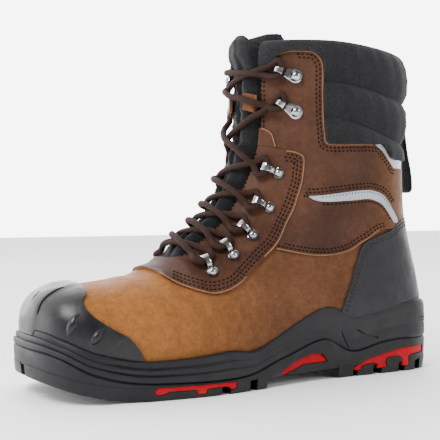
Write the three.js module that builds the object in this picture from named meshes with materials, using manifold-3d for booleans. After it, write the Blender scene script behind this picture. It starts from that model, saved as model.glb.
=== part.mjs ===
// Steel toe work boot, left foot, in millimetres.
// The toe points to -X, the outer side of the foot is -Y and +Z is up.
// The origin lies on the ground under the middle of the heel.
import * as THREE from 'three';
import { mergeVertices } from 'three/addons/utils/BufferGeometryUtils.js';
import Module from 'manifold-3d';

// Main sizes of the boot
const soleLength = 320;
const heelBack = 42;
const ballWidth = 118;
const instepHeight = 130;
const bootHeight = 240;
const heelFloor = 25;
const ballFloor = 15;
const toeSpring = 13;
const toeRim = 6;
const toeNose = 47;

// Walls, clearances and layers
const leather = 2.2;
const gap = 0.3;
const insoleThickness = 4;
const lugDepth = 7;
const reach = 120;

// Steps of the lofts
const noseSteps = 4;
const crownSteps = 4;
const sideSteps = 3;
const floorSteps = 2;
const arcSteps = 4;

// Sections of the last from the toe box to the collar.
// front, back: shares of the sole's length ahead of the heel's back.
// rise, climb: heights, 0 to 1 from the ground to the instep and 1 to 2 from there to the collar.
// half, centre, ridge: half width, middle and crest offset as shares of the ball's width.
// widest: where along the section it is widest. crown, round: fullness before and after that.
// end: half width left at the floor or the back, as a share of half.
const sectionColumns = ['front', 'rise', 'back', 'climb', 'half', 'centre', 'ridge',
  'widest', 'crown', 'round', 'end'];
const sectionTable = [
  [0.853, 0.552, 0.853, 0.000, 0.386, 0.034, 0.000, 0.70, 2.7, 2.5, 0.93],
  [0.794, 0.572, 0.794, 0.000, 0.419, 0.017, 0.008, 0.70, 2.4, 2.5, 0.93],
  [0.734, 0.604, 0.728, 0.000, 0.432, 0.000, 0.025, 0.71, 2.2, 2.5, 0.93],
  [0.675, 0.670, 0.656, 0.000, 0.428, -0.013, 0.042, 0.72, 2.0, 2.5, 0.92],
  [0.616, 0.763, 0.562, 0.000, 0.411, -0.021, 0.051, 0.72, 1.9, 2.5, 0.90],
  [0.568, 0.872, 0.450, 0.000, 0.381, -0.021, 0.042, 0.70, 1.9, 2.5, 0.88],
  [0.533, 0.995, 0.325, 0.000, 0.360, -0.017, 0.034, 0.66, 2.0, 2.6, 0.88],
  [0.510, 1.136, 0.206, 0.000, 0.350, -0.008, 0.017, 0.60, 2.1, 2.7, 0.89],
  [0.498, 1.245, 0.113, 0.000, 0.352, 0.000, 0.008, 0.57, 2.2, 2.7, 0.86],
  [0.491, 1.327, 0.056, 0.000, 0.354, 0.000, 0.000, 0.55, 2.2, 2.7, 0.72],
  [0.487, 1.400, 0.022, 0.223, 0.356, 0.000, 0.000, 0.53, 2.2, 2.6, 0.36],
  [0.484, 1.473, 0.018, 0.338, 0.358, 0.000, 0.000, 0.52, 2.2, 2.5, 0.14],
  [0.483, 1.545, 0.030, 0.500, 0.362, 0.000, 0.000, 0.51, 2.2, 2.4, 0.12],
  [0.481, 1.627, 0.051, 0.685, 0.371, 0.000, 0.000, 0.50, 2.2, 2.3, 0.12],
  [0.480, 1.709, 0.066, 0.877, 0.383, 0.000, 0.000, 0.50, 2.2, 2.2, 0.12],
  [0.479, 1.791, 0.073, 1.109, 0.394, 0.000, 0.000, 0.50, 2.2, 2.2, 0.12],
  [0.478, 1.873, 0.073, 1.382, 0.402, 0.000, 0.000, 0.50, 2.2, 2.2, 0.12],
  [0.478, 1.955, 0.070, 1.664, 0.407, 0.000, 0.000, 0.50, 2.2, 2.2, 0.12],
  [0.478, 2.045, 0.077, 1.927, 0.407, 0.000, 0.000, 0.50, 2.2, 2.2, 0.12],
  [0.478, 2.164, 0.087, 2.164, 0.403, 0.000, 0.000, 0.50, 2.2, 2.2, 0.12],
];

// Side of the sole, from the heel's back to the toe tip.
// along: share of the sole's length. lateral, medial: half widths as shares of the ball's width.
// top, wave: heights of the sole's upper edge and of the groove over the tread,
// as shares of the instep's height. ledge: how far the toe's steps show, 0 to 1.
const soleColumns = ['along', 'lateral', 'medial', 'top', 'wave', 'ledge'];
const soleTable = [
  [0.000, 0.345, 0.343, 0.392, 0.185, 0.0],
  [0.069, 0.345, 0.343, 0.415, 0.185, 0.0],
  [0.131, 0.345, 0.343, 0.408, 0.192, 0.0],
  [0.194, 0.350, 0.342, 0.377, 0.177, 0.0],
  [0.250, 0.350, 0.335, 0.358, 0.146, 0.0],
  [0.281, 0.350, 0.328, 0.350, 0.150, 0.0],
  [0.312, 0.352, 0.322, 0.385, 0.185, 0.0],
  [0.344, 0.356, 0.316, 0.400, 0.223, 0.0],
  [0.378, 0.363, 0.313, 0.385, 0.219, 0.0],
  [0.438, 0.385, 0.318, 0.323, 0.169, 0.0],
  [0.494, 0.420, 0.342, 0.254, 0.135, 0.0],
  [0.550, 0.452, 0.378, 0.204, 0.092, 0.0],
  [0.603, 0.474, 0.417, 0.215, 0.077, 0.0],
  [0.684, 0.484, 0.466, 0.200, 0.077, 0.0],
  [0.791, 0.462, 0.488, 0.192, 0.088, 0.2],
  [0.841, 0.435, 0.480, 0.208, 0.104, 0.5],
  [0.912, 0.430, 0.478, 0.254, 0.154, 1.0],
  [0.969, 0.430, 0.478, 0.315, 0.231, 1.0],
  [1.000, 0.430, 0.478, 0.354, 0.254, 1.0],
];

const wasm = await Module();
wasm.setup();

// Tables are read as rows with named values.
const named = (columns, table) => table.map((row) =>
  Object.fromEntries(columns.map((column, i) => [column, row[i]])));
const sections = named(sectionColumns, sectionTable);
const soleRows = named(soleColumns, soleTable);

// The toe box is rounded off from its first section to the sole's rim.
const toeRound = (1 - sections[0].front) * soleLength - toeRim;

// Heights run from 0 at the ground to 1 at the instep and 2 at the collar.
const heightAt = (v) => (v <= 1 ? v * instepHeight : instepHeight + (v - 1) * (bootHeight - instepHeight));
const alongToX = (along) => heelBack - along * soleLength;
const xToAlong = (x) => (heelBack - x) / soleLength;

// A smooth curve through four neighbouring values.
function smooth(a, b, c, d, t) {
  const v0 = (c - a) / 2;
  const v1 = (d - b) / 2;
  return ((2 * (b - c) + v0 + v1) * t + (3 * (c - b) - 2 * v0 - v1)) * t * t + v0 * t + b;
}

// One column of the section table at a place between its rows.
function sectionValue(column, place) {
  const last = sections.length - 1;
  const row = Math.min(Math.floor(place), last - 1);
  const pick = (i) => sections[Math.max(0, Math.min(last, i))][column];
  return smooth(pick(row - 1), pick(row), pick(row + 1), pick(row + 2), place - row);
}

// One column of the sole table at a share of the length, in straight steps.
function soleValue(column, along) {
  const i = Math.max(1, soleRows.findIndex((row) => row.along >= along));
  const a = soleRows[i - 1];
  const b = soleRows[i];
  const t = THREE.MathUtils.clamp((along - a.along) / (b.along - a.along), 0, 1);
  return a[column] + (b[column] - a[column]) * t;
}

// The foot's floor drops from the heel to the ball and rises to the toe.
function springAt(along) {
  const t = THREE.MathUtils.clamp((along - 0.77) / 0.23, 0, 1);
  return toeSpring * t * t;
}
function floorAt(along) {
  const drop = THREE.MathUtils.smoothstep(along, 0.22, 0.62);
  return heelFloor + (ballFloor - heelFloor) * drop + springAt(along);
}

// A closed solid of rings of points, each ring a closed loop, with both ends capped.
// Point i of a ring lies across from point n - i, so a cap is a strip of quads.
function loft(rings) {
  const count = rings[0].length;
  const position = [];
  const index = [];
  for (const ring of rings) for (const point of ring) position.push(point.x, point.y, point.z);
  for (let r = 0; r + 1 < rings.length; r += 1) {
    for (let i = 0; i < count; i += 1) {
      const a = r * count + i;
      const b = r * count + ((i + 1) % count);
      index.push(a, b, a + count, b, b + count, a + count);
    }
  }
  const cap = (base, forward) => {
    for (let i = 0; i < count / 2; i += 1) {
      const near = base + i;
      const next = base + i + 1;
      const far = base + ((count - i) % count);
      const farNext = base + count - i - 1;
      const faces = [];
      if (far !== near) faces.push([near, far, next]);
      if (farNext !== next) faces.push([far, farNext, next]);
      for (const [p, q, s] of faces) index.push(...(forward ? [p, s, q] : [p, q, s]));
    }
  };
  cap(0, false);
  cap((rings.length - 1) * count, true);
  const geometry = new THREE.BufferGeometry();
  geometry.setAttribute('position', new THREE.Float32BufferAttribute(position, 3));
  geometry.setIndex(index);
  return geometry;
}

// A geometry as a solid that can be joined and cut, always facing outwards.
function solid(geometry) {
  const bare = geometry.index ? geometry.toNonIndexed() : geometry.clone();
  for (const name of Object.keys(bare.attributes)) if (name !== 'position') bare.deleteAttribute(name);
  const merged = mergeVertices(bare, 1e-4);
  const triVerts = new Uint32Array(merged.index.array);
  const make = () => new wasm.Manifold(new wasm.Mesh({
    numProp: 3, vertProperties: merged.attributes.position.array, triVerts,
  }));
  const made = make();
  if (made.volume() > 0) return made;
  for (let i = 0; i < triVerts.length; i += 3) {
    [triVerts[i + 1], triVerts[i + 2]] = [triVerts[i + 2], triVerts[i + 1]];
  }
  return make();
}

// The last's section at a place in the table, grown outwards by offset.
// nose runs from 0 at the toe tip to 1 where the toe box reaches its full width.
function sectionAt(place, offset, nose = 1) {
  const value = (column, at = place) => sectionValue(column, at);
  const at = (u) => {
    const back = value('back', u);
    const front = new THREE.Vector2(alongToX(value('front', u)), heightAt(value('rise', u)));
    const low = floorAt(back);
    const rear = new THREE.Vector2(alongToX(back), Math.max(low, heightAt(value('climb', u))));
    return { front, rear };
  };
  const end = sections.length - 1;
  const before = at(Math.max(0, place - 0.05));
  const after = at(Math.min(end, place + 0.05));
  const { front, rear } = at(place);
  const outward = (from, to, turn) => {
    const along = to.clone().sub(from).normalize();
    return new THREE.Vector2(-along.y * turn, along.x * turn);
  };
  front.addScaledVector(outward(before.front, after.front, 1), offset);
  rear.addScaledVector(outward(before.rear, after.rear, -1), offset);
  let half = value('half') * ballWidth + offset;
  let centre = value('centre') * ballWidth;
  if (nose < 1) {
    const turn = nose * Math.PI / 2;
    const full = 2 / 2.4;
    const slide = (toeRound + offset) * Math.cos(turn) ** full;
    const nosed = toeNose + (front.y - toeNose) * Math.sin(turn) ** full;
    front.set(front.x - slide, nosed);
    rear.x -= slide;
    rear.y = floorAt(xToAlong(rear.x + offset)) - offset;
    half *= Math.sin(turn) ** full;
  }
  return { front, rear, half, centre, ridge: value('ridge') * ballWidth,
    widest: value('widest'), crown: value('crown'), round: value('round'), end: value('end') };
}

// Half width of a section, from 0 at its front to 1 at its back, and the point there.
function sectionPoint(section, share, side, width) {
  const { front, rear, half, centre, ridge } = section;
  return new THREE.Vector3(
    front.x + (rear.x - front.x) * share,
    centre + side * half * width + ridge * (1 - width),
    front.y + (rear.y - front.y) * share,
  );
}

// The closed loop of points of one section: down the outer side, across and up the inner side.
function sectionRing(section) {
  const { widest, crown, round, end } = section;
  const down = [];
  for (let i = 1; i <= crownSteps; i += 1) {
    const turn = (i / crownSteps) * Math.PI / 2;
    down.push([widest * (1 - Math.cos(turn) ** (2 / crown)), Math.sin(turn) ** (2 / crown)]);
  }
  const cut = (1 - end ** round) ** (1 / round);
  const last = Math.asin(cut ** (round / 2));
  for (let i = 1; i <= sideSteps; i += 1) {
    const turn = (i / sideSteps) * last;
    const sunk = Math.sin(turn) ** (2 / round) / cut;
    down.push([widest + (1 - widest) * sunk, Math.cos(turn) ** (2 / round)]);
  }
  for (let i = 1; i < floorSteps; i += 1) down.push([1, end * (1 - i / floorSteps)]);
  const loop = [sectionPoint(section, 0, 1, 0)];
  for (const [share, width] of down) loop.push(sectionPoint(section, share, -1, width));
  const middle = sectionPoint(section, 1, 1, 0);
  middle.y = section.centre;
  loop.push(middle);
  for (const [share, width] of down.reverse()) loop.push(sectionPoint(section, share, 1, width));
  return loop;
}

// The whole form of the last, grown outwards by offset, through these places of the table.
const loftPlaces = [0, 1, 2, 3, 4, 5, 6, 7, 8, 9, 10, 11, 12, 14, 18, 19];
function formSections(offset) {
  const list = [];
  for (let i = 0; i < noseSteps; i += 1) {
    list.push(sectionAt(0, offset, 0.09 + 0.91 * (i / noseSteps)));
  }
  for (const place of loftPlaces) list.push(sectionAt(place, offset));
  return list;
}
const form = (offset) => solid(loft(formSections(offset).map(sectionRing)));

// The triangles of the bare last, for finding where a line leaves it.
const lastFaces = (() => {
  const geometry = loft(formSections(0).map(sectionRing)).toNonIndexed();
  const at = geometry.getAttribute('position');
  const corner = (i) => new THREE.Vector3().fromBufferAttribute(at, i);
  const faces = [];
  for (let i = 0; i < at.count; i += 3) faces.push([corner(i), corner(i + 1), corner(i + 2)]);
  return faces;
})();

// The farthest point of the last along a line from its inside.
function surfaceAlong(from, direction) {
  const ray = new THREE.Ray(from, direction.clone().normalize());
  const hit = new THREE.Vector3();
  let best = null;
  for (const [a, b, c] of lastFaces) {
    if (!ray.intersectTriangle(a, b, c, false, hit)) continue;
    if (!best || hit.distanceTo(from) > best.distanceTo(from)) best = hit.clone();
  }
  return best;
}

// Half width of the last at one side, at a length and height, or 0 outside it.
function lastHalf(x, z, side) {
  const found = surfaceAlong(new THREE.Vector3(x, 0, z), new THREE.Vector3(0, side, 0));
  return found ? Math.abs(found.y) : 0;
}

// Top view of the sole: straight table between a round toe and a round heel.
const toeStart = 0.855;
const heelStart = 0.131;
const toeFull = 2 / 2.4;
const heelFull = 2 / 2.3;

// Stations from the toe tip to the heel's back, each with its half widths drawn in by inset.
function soleStations(inset) {
  const list = [];
  const place = (along, x, share) => {
    const wide = THREE.MathUtils.clamp(along, heelStart, toeStart);
    const lateral = soleValue('lateral', wide) * ballWidth;
    const medial = soleValue('medial', wide) * ballWidth;
    const centre = (medial - lateral) / 2;
    const half = ((medial + lateral) / 2 - inset) * share;
    list.push({ along, x, lateral: half - centre, medial: half + centre });
  };
  for (let i = 0; i < arcSteps; i += 1) {
    const turn = (i / arcSteps) * Math.PI / 2;
    const out = Math.cos(turn) ** toeFull;
    const along = toeStart + (1 - toeStart) * out;
    place(along, alongToX(along) + inset * out, Math.sin(turn) ** toeFull);
  }
  place(toeStart, alongToX(toeStart), 1);
  for (const row of [...soleRows].reverse()) {
    if (row.along < toeStart && row.along >= heelStart) place(row.along, alongToX(row.along), 1);
  }
  for (let i = 1; i <= arcSteps; i += 1) {
    const turn = (i / arcSteps) * Math.PI / 2;
    const out = Math.sin(turn) ** heelFull;
    const along = heelStart * (1 - out);
    place(along, alongToX(along) - inset * out, Math.cos(turn) ** heelFull);
  }
  return list;
}

// A ring round the sole. level gives each station's height, inset may vary with the station,
// and hug keeps the ring at least that far outside the leather.
function soleRing(inset, level, hug = 0, ledge = 0) {
  const lateral = [];
  const medial = [];
  soleStations(0).forEach((base, i) => {
    const station = soleStations(inset + ledge * soleValue('ledge', base.along))[i];
    const z = level(base.along);
    const wall = (side) => (hug ? lastHalf(base.x, z, side) + hug : 0);
    const inArc = base.along > toeStart || base.along < heelStart;
    const out = (half, side) => (inArc ? half : Math.max(half, wall(side)));
    lateral.push(new THREE.Vector3(station.x, -out(station.lateral, -1), z));
    medial.push(new THREE.Vector3(station.x, out(station.medial, 1), z));
  });
  return [...lateral, ...medial.slice(1, -1).reverse()];
}

// Heights of the sole: ground, tread, groove and top edge.
const groundAt = (along) => springAt(along) * 1.1;
const waveAt = (along) => soleValue('wave', along) * instepHeight;
const topAt = (along) => soleValue('top', along) * instepHeight;
const bedThickness = 5;
const bedAt = (along) => Math.min(waveAt(along), floorAt(along) - bedThickness);

// Side of the midsole, from the groove up: share of its height, inset, and share of a toe step.
const grooveDepth = 1.4;
const edgeRound = 2.6;
const toeStep = 1.5;
const wallThickness = 2.2;
const sideProfile = [
  { share: 0, inset: grooveDepth, steps: 0 },
  { share: 0.06, inset: 0, steps: 0 },
  { share: 0.33, inset: 0, steps: 0 },
  { share: 0.38, inset: 0, steps: 1 },
  { share: 0.64, inset: 0, steps: 1 },
  { share: 0.7, inset: 0.3, steps: 2 },
  { share: 0.9, inset: 0.6, steps: 2 },
  { share: 1, inset: edgeRound, steps: 2 },
];
const bedInset = 2;

// The midsole before the upper is let into it. grow makes it larger all round.
function midsoleBlock(grow) {
  const rings = [soleRing(bedInset - grow, (along) => bedAt(along) - grow)];
  for (const { share, inset, steps } of sideProfile) {
    const level = (along) => THREE.MathUtils.lerp(waveAt(along), topAt(along), share)
      + (share ? grow : -grow);
    rings.push(soleRing(inset - grow, level, wallThickness + grow - inset / 2, steps * toeStep));
  }
  return solid(loft(rings));
}
const midsole = midsoleBlock(0).subtract(form(gap));

// A bar along the floor between the sections' lower corners, drawn in by inset, from the first
// of these sections to the one at the back of the heel.
function floorBar(offset, inset, low, high, lastPlace, first = 0) {
  const rings = formSections(offset).slice(first, noseSteps + lastPlace + 1).map((section) => {
    const { rear, half, centre, end } = section;
    const wide = half * end - inset;
    const base = floorAt(xToAlong(rear.x));
    const corner = (side, z) => new THREE.Vector3(rear.x, centre + side * wide, base + z);
    return [corner(-1, high), corner(-1, low), corner(1, low), corner(1, high)];
  });
  return solid(loft(rings));
}

// The throat is a slot along the crest of the last, its half width given as a share of the
// ball's width at places in the section table. extra widens it.
const throatColumns = ['place', 'half'];
const throatTable = [
  [2.85, 0.060],
  [2.92, 0.105],
  [3.10, 0.130],
  [4.00, 0.135],
  [6.00, 0.140],
  [8.00, 0.148],
  [11.0, 0.155],
  [15.0, 0.158],
  [19.0, 0.158],
];
const throatReach = 14;
const throatDeep = 26;
const throatClear = 0.4;
function throatSlot(extra, outside, inside) {
  const rings = named(throatColumns, throatTable).map(({ place, half }, row) => {
    const section = sectionAt(place - (row ? 0 : extra / 20), 0);
    const length = section.front.distanceTo(section.rear);
    const wide = half * ballWidth + extra;
    const middle = section.centre + section.ridge;
    const corner = (side, depth) => {
      const point = sectionPoint(section, depth / length, 1, 0);
      point.y = middle + side * wide;
      return point;
    };
    return [corner(-1, -outside), corner(-1, inside), corner(1, inside), corner(1, -outside)];
  });
  return solid(loft(rings));
}

// A closed outline grown outwards by a distance, corner by corner.
function grownOutline(points, grow) {
  const turn = THREE.ShapeUtils.area(points) > 0 ? 1 : -1;
  const out = (a, b) => new THREE.Vector2(b.y - a.y, a.x - b.x).normalize().multiplyScalar(turn);
  return points.map((point, i) => {
    const before = out(points.at(i - 1), point);
    const after = out(point, points[(i + 1) % points.length]);
    const middle = before.clone().add(after).normalize();
    return point.clone().addScaledVector(middle, grow / Math.max(middle.dot(before), 0.4));
  });
}

// A side view outline, as rows of [along, height], cut through the boot or one side of it.
function prism(rows, grow = 0, side = 0) {
  const points = rows.map(([along, v]) => new THREE.Vector2(alongToX(along), heightAt(v)));
  const shape = new THREE.Shape(grownOutline(points, grow));
  const depth = side ? reach : 2 * reach;
  const geometry = new THREE.ExtrudeGeometry(shape, { depth, bevelEnabled: false });
  geometry.rotateX(Math.PI / 2);
  geometry.translate(0, side < 0 ? 0 : reach, 0);
  return solid(geometry);
}

// A block of everything below a height on the 0 to 2 scale.
const below = (v) => prism([[1.4, -0.5], [-0.4, -0.5], [-0.4, v], [1.4, v]]);

// Upper: one leather shell, open at the collar, the throat and the floor.
const upperTop = 1.9;
const heelPlace = 9;
const underFoot = -6;
const inside = form(-leather);
const upper = form(0)
  .subtract(inside.add(floorBar(-leather, 0, underFoot, leather + 1, heelPlace)))
  .subtract(throatSlot(0, throatReach, throatReach + 2))
  .intersect(below(upperTop));

// Insole: a board on the midsole, inside the upper's lower edge.
const insoleInset = 2.4;
const insole = floorBar(-leather, insoleInset, gap, gap + insoleThickness, heelPlace, 1);

// A point of the last beside its crest line, wide of it by that much.
function besideCrest(place, offset, side, wide) {
  const section = sectionAt(place, offset);
  const { half, ridge, crown, widest } = section;
  const width = Math.min(wide / (half - side * ridge), 1);
  return sectionPoint(section, widest * (1 - (1 - width ** crown) ** (1 / crown)), side, width);
}
function throatHalf(place) {
  const i = Math.max(1, throatTable.findIndex((row) => row[0] >= place));
  const [from, to] = [throatTable[i - 1], throatTable[i]];
  const t = THREE.MathUtils.clamp((place - from[0]) / (to[0] - from[0]), 0, 1);
  return (from[1] + (to[1] - from[1]) * t) * ballWidth;
}

// Tongue: a pad behind the throat that also fills it. front is how far it stands off the last
// in the throat at each place of the section table.
const tonguePad = 9;
const tongueProud = 5;
const tongueLap = 9;
const tongueEdge = 1.2;
const tongueUnder = -leather - 5 * gap;
const tongueColumns = ['place', 'front'];
const tongueTable = [
  [2.5, tongueUnder], [2.98, tongueUnder], [3.25, tongueProud - 1], [4, tongueProud],
  [5, tongueProud], [6, tongueProud], [7, tongueProud], [8, tongueProud], [9, tongueProud],
  [10, tongueProud], [12, tongueProud], [14, tongueProud], [18.1, tongueProud],
];
const tongue = solid(loft(named(tongueColumns, tongueTable).map(({ place, front }) => {
  const half = throatHalf(place) - tongueEdge;
  const raised = front - tongueUnder;
  const side = (to) => [
    besideCrest(place, tongueUnder + raised * 0.85, to, half - raised * 0.1),
    besideCrest(place, tongueUnder, to, half),
    besideCrest(place, tongueUnder, to, half + tongueLap),
    besideCrest(place, tongueUnder - tonguePad * 0.4, to, half + tongueLap),
  ];
  return [besideCrest(place, front, 1, 0), ...side(-1),
    besideCrest(place, tongueUnder - tonguePad, 1, 0), ...side(1).reverse()];
})));

// Outsole: a plate under the midsole with lugs on it.
function treadRing(inset, lift) {
  return soleRing(inset, (along) => groundAt(along) + lift);
}
const plateRings = [
  soleRing(bedInset - gap, (along) => bedAt(along) - gap),
  soleRing(grooveDepth - gap, (along) => waveAt(along) - gap, wallThickness - grooveDepth / 2 + 2 * gap),
  soleRing(0, (along) => waveAt(along) - gap - 0.8, wallThickness + 2 * gap),
  treadRing(0.5, lugDepth + 1.2),
  treadRing(3, lugDepth),
];
const plate = solid(loft(plateRings));

// Lugs, as shares of the sole's length where they meet the edge, and how far they slant forward.
const lugColumns = ['from', 'to', 'slant', 'inner'];
const lugTable = [
  [-0.030, 0.053, 0.015, 0.085],
  [0.072, 0.106, 0.015, 0.170],
  [0.125, 0.175, 0.015, 0.170],
  [0.200, 0.244, 0.015, 0.170],
  [0.269, 0.309, 0.000, 0.060],
  [0.503, 0.531, 0.020, 0.120],
  [0.547, 0.597, 0.025, 0.160],
  [0.619, 0.669, 0.025, 0.160],
  [0.694, 0.766, 0.025, 0.160],
  [0.791, 0.869, 0.025, 0.160],
  [0.891, 0.950, 0.015, 0.110],
  [0.969, 1.050, 0.000, 0.040],
];
const centreLugs = [0.131, 0.215, 0.560, 0.645, 0.735, 0.835, 0.915];
const centreLugLong = 0.032;
const centreLugWide = 0.105;

// A plan view outline cut through the sole from below.
function planPrism(points) {
  const shape = new THREE.Shape(points.map(([x, y]) => new THREE.Vector2(x, y)));
  const geometry = new THREE.ExtrudeGeometry(shape, { depth: instepHeight, bevelEnabled: false });
  geometry.translate(0, 0, -lugDepth);
  return solid(geometry);
}
const lugPrisms = [];
for (const { from, to, slant, inner } of named(lugColumns, lugTable)) {
  for (const side of [-1, 1]) {
    lugPrisms.push(planPrism([
      [alongToX(from), side * reach],
      [alongToX(from + slant), side * ballWidth * inner],
      [alongToX(to + slant), side * ballWidth * inner],
      [alongToX(to), side * reach],
    ]));
  }
}
for (const middle of centreLugs) {
  const wide = centreLugWide * ballWidth;
  lugPrisms.push(planPrism([
    [alongToX(middle - centreLugLong), -wide * 0.5], [alongToX(middle - centreLugLong), wide * 0.5],
    [alongToX(middle), wide],
    [alongToX(middle + centreLugLong), wide * 0.5], [alongToX(middle + centreLugLong), -wide * 0.5],
    [alongToX(middle), -wide],
  ]));
}
const treadBlock = solid(loft([treadRing(1, 0), treadRing(0.2, lugDepth + 1.6)]));
const lugs = treadBlock.intersect(wasm.Manifold.union(lugPrisms));

// Red inlays in pockets of the tread's side, in side view, with feet between the lugs.
const inlayOutlines = {
  fore: [
    [0.781, 0.066], [0.604, 0.062], [0.604, 0.026], [0.612, 0.026], [0.612, 0.040],
    [0.675, 0.040], [0.675, 0.020], [0.688, 0.020], [0.688, 0.040], [0.769, 0.040],
    [0.769, 0.032], [0.781, 0.032],
  ],
  arch: [
    [0.478, 0.069], [0.444, 0.108], [0.409, 0.138], [0.384, 0.154], [0.359, 0.146], [0.344, 0.108],
    [0.347, 0.100], [0.409, 0.100], [0.438, 0.077], [0.469, 0.060],
  ],
  heel: [
    [0.269, 0.046], [0.225, 0.092], [0.162, 0.123], [0.122, 0.138], [0.050, 0.138],
    [0.050, 0.090], [0.108, 0.090], [0.108, 0.034], [0.123, 0.034], [0.123, 0.090],
    [0.177, 0.090], [0.177, 0.034], [0.198, 0.034], [0.198, 0.062], [0.247, 0.052],
    [0.247, 0.034], [0.262, 0.034],
  ],
};
const inlayRecess = 0.8;
const inlayThickness = 4.4;
const upTo = (level) => () => level;
function sideBand(outer, inner) {
  const block = (inset) => solid(loft([soleRing(inset, upTo(-lugDepth)), soleRing(inset, upTo(heelFloor))]));
  return block(outer).subtract(block(inner));
}
const inlayBand = sideBand(inlayRecess, inlayRecess + inlayThickness).subtract(midsoleBlock(gap));
const pocketBand = sideBand(-4, inlayRecess + inlayThickness + gap);
const inlays = [];
let pockets = null;
for (const [name, rows] of Object.entries(inlayOutlines)) {
  const pocket = prism(rows, gap).intersect(pocketBand);
  pockets = pockets ? pockets.add(pocket) : pocket;
  inlays.push({ name: `red_${name}_lateral`, body: inlayBand.intersect(prism(rows, 0, -1)) });
  inlays.push({ name: `red_${name}_medial`, body: inlayBand.intersect(prism(rows, 0, 1)) });
}
const outsole = plate.add(lugs).subtract(pockets);

// Leather overlays lie on the upper, a clearance off it and off the sole.
const capLeather = 2.2;
const counterLeather = 1.8;
const quarterLeather = 1.5;
const eyestayLeather = 2.2;
const stripThickness = 0.9;
const throatLine = throatSlot(throatClear, throatReach, throatReach + 2);
const underSole = solid(loft([soleRing(-reach, upTo(-lugDepth)), soleRing(-reach, waveAt)]));
const clearOfLast = form(gap).add(midsoleBlock(gap)).add(underSole).add(throatLine);
const layer = (thickness) => form(gap + thickness).subtract(clearOfLast);

// A body without the crumbs that a cut can leave.
function whole(body) {
  const bodies = body.decompose();
  return bodies.reduce((most, one) => (one.volume() > most.volume() ? one : most));
}

const capEdge = [[0.886, 0.68], [0.890, 0.545], [0.906, 0.500], [0.904, 0.453], [0.891, 0.413],
  [0.870, 0.376], [0.847, 0.340], [0.827, 0.310], [0.812, 0.265], [0.798, 0.200], [0.790, 0.100]];
const capOutline = [...capEdge, [1.1, 0.1], [1.1, 0.68]];
const bandLateral = 14;
const bandMedial = 20;
const bandBack = 0.9;
const bandRise = 1;
const nubRise = 1.6;
const nubWidth = 0.011;
const nubLines = [
  [[0.929, 0.425], [0.947, 0.335]],
  [[0.884, 0.350], [0.905, 0.285]],
];
const band = form(gap + capLeather + bandRise).intersect(planPrism([
  [alongToX(1.1), -bandLateral], [alongToX(bandBack), -bandLateral],
  [alongToX(bandBack), bandMedial], [alongToX(1.1), bandMedial],
]));
const nub = ([from, to]) => prism([from, [from[0] - nubWidth, from[1] - 0.02],
  [to[0] - nubWidth, to[1] - 0.02], to]);
const nubs = form(gap + capLeather + nubRise).intersect(wasm.Manifold.union(nubLines.map(nub)));
const toeCap = whole(form(gap + capLeather).add(band).add(nubs).intersect(prism(capOutline))
  .subtract(clearOfLast));

const counterOutline = [
  [-0.10, 0.885], [0.030, 0.880], [0.119, 0.871], [0.165, 0.814], [0.212, 0.777], [0.239, 0.749],
  [0.255, 0.705], [0.270, 0.610], [0.281, 0.522], [0.303, 0.401], [0.310, 0.300], [-0.10, 0.300],
];
const counter = whole(layer(counterLeather).intersect(prism(counterOutline)));

const eyestayOutline = [
  [0.735, 0.720], [0.722, 0.612], [0.709, 0.575], [0.688, 0.543], [0.659, 0.518], [0.633, 0.507],
  [0.604, 0.518], [0.568, 0.557], [0.504, 0.681], [0.471, 0.750], [0.442, 0.855], [0.420, 0.950],
  [0.405, 1.053], [0.395, 1.166], [0.396, 1.252], [0.410, 1.283], [0.432, 1.297], [0.520, 1.330],
  [0.640, 1.100],
];
const eyestay = whole(layer(eyestayLeather).intersect(prism(eyestayOutline)));

const stripOutline = [
  [0.384, 1.004], [0.356, 1.010], [0.252, 1.045], [0.221, 1.040], [0.192, 1.014], [0.162, 0.948],
  [0.134, 0.867], [0.151, 0.855], [0.164, 0.882], [0.191, 0.952], [0.219, 0.982], [0.243, 0.989],
  [0.287, 0.980], [0.356, 0.975],
];
const backStripOutline = [
  [0.224, 1.343], [0.205, 1.351], [0.190, 1.320], [0.171, 1.262], [0.150, 1.250], [-0.10, 1.250],
  [-0.10, 1.200], [0.155, 1.195], [0.176, 1.245], [0.200, 1.305],
];
const quarterOutline = [
  [0.540, 0.770], [0.499, 0.733], [0.472, 0.722], [0.408, 0.692], [0.350, 0.680], [0.290, 0.702],
  [0.238, 0.763], [0.186, 0.820], [-0.10, 0.820], [-0.10, 1.201], [0.153, 1.201], [0.167, 1.226],
  [0.197, 1.299], [0.220, 1.342], [0.344, 1.338], [0.356, 1.410], [0.360, 1.505], [0.362, 1.588],
  [0.366, 1.844], [0.377, 1.901], [0.391, 1.923], [0.424, 1.928], [0.540, 1.928],
];
const quarter = whole(layer(quarterLeather).intersect(prism(quarterOutline))
  .subtract(prism(eyestayOutline, gap))
  .subtract(prism(counterOutline, gap))
  .subtract(prism(stripOutline, gap))
  .subtract(prism(backStripOutline, gap)));
const strip = (side) => whole(layer(stripThickness).intersect(prism(stripOutline, 0, side))
  .subtract(prism(counterOutline, gap)));
const backStrip = whole(layer(stripThickness).intersect(prism(backStripOutline)));

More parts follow.
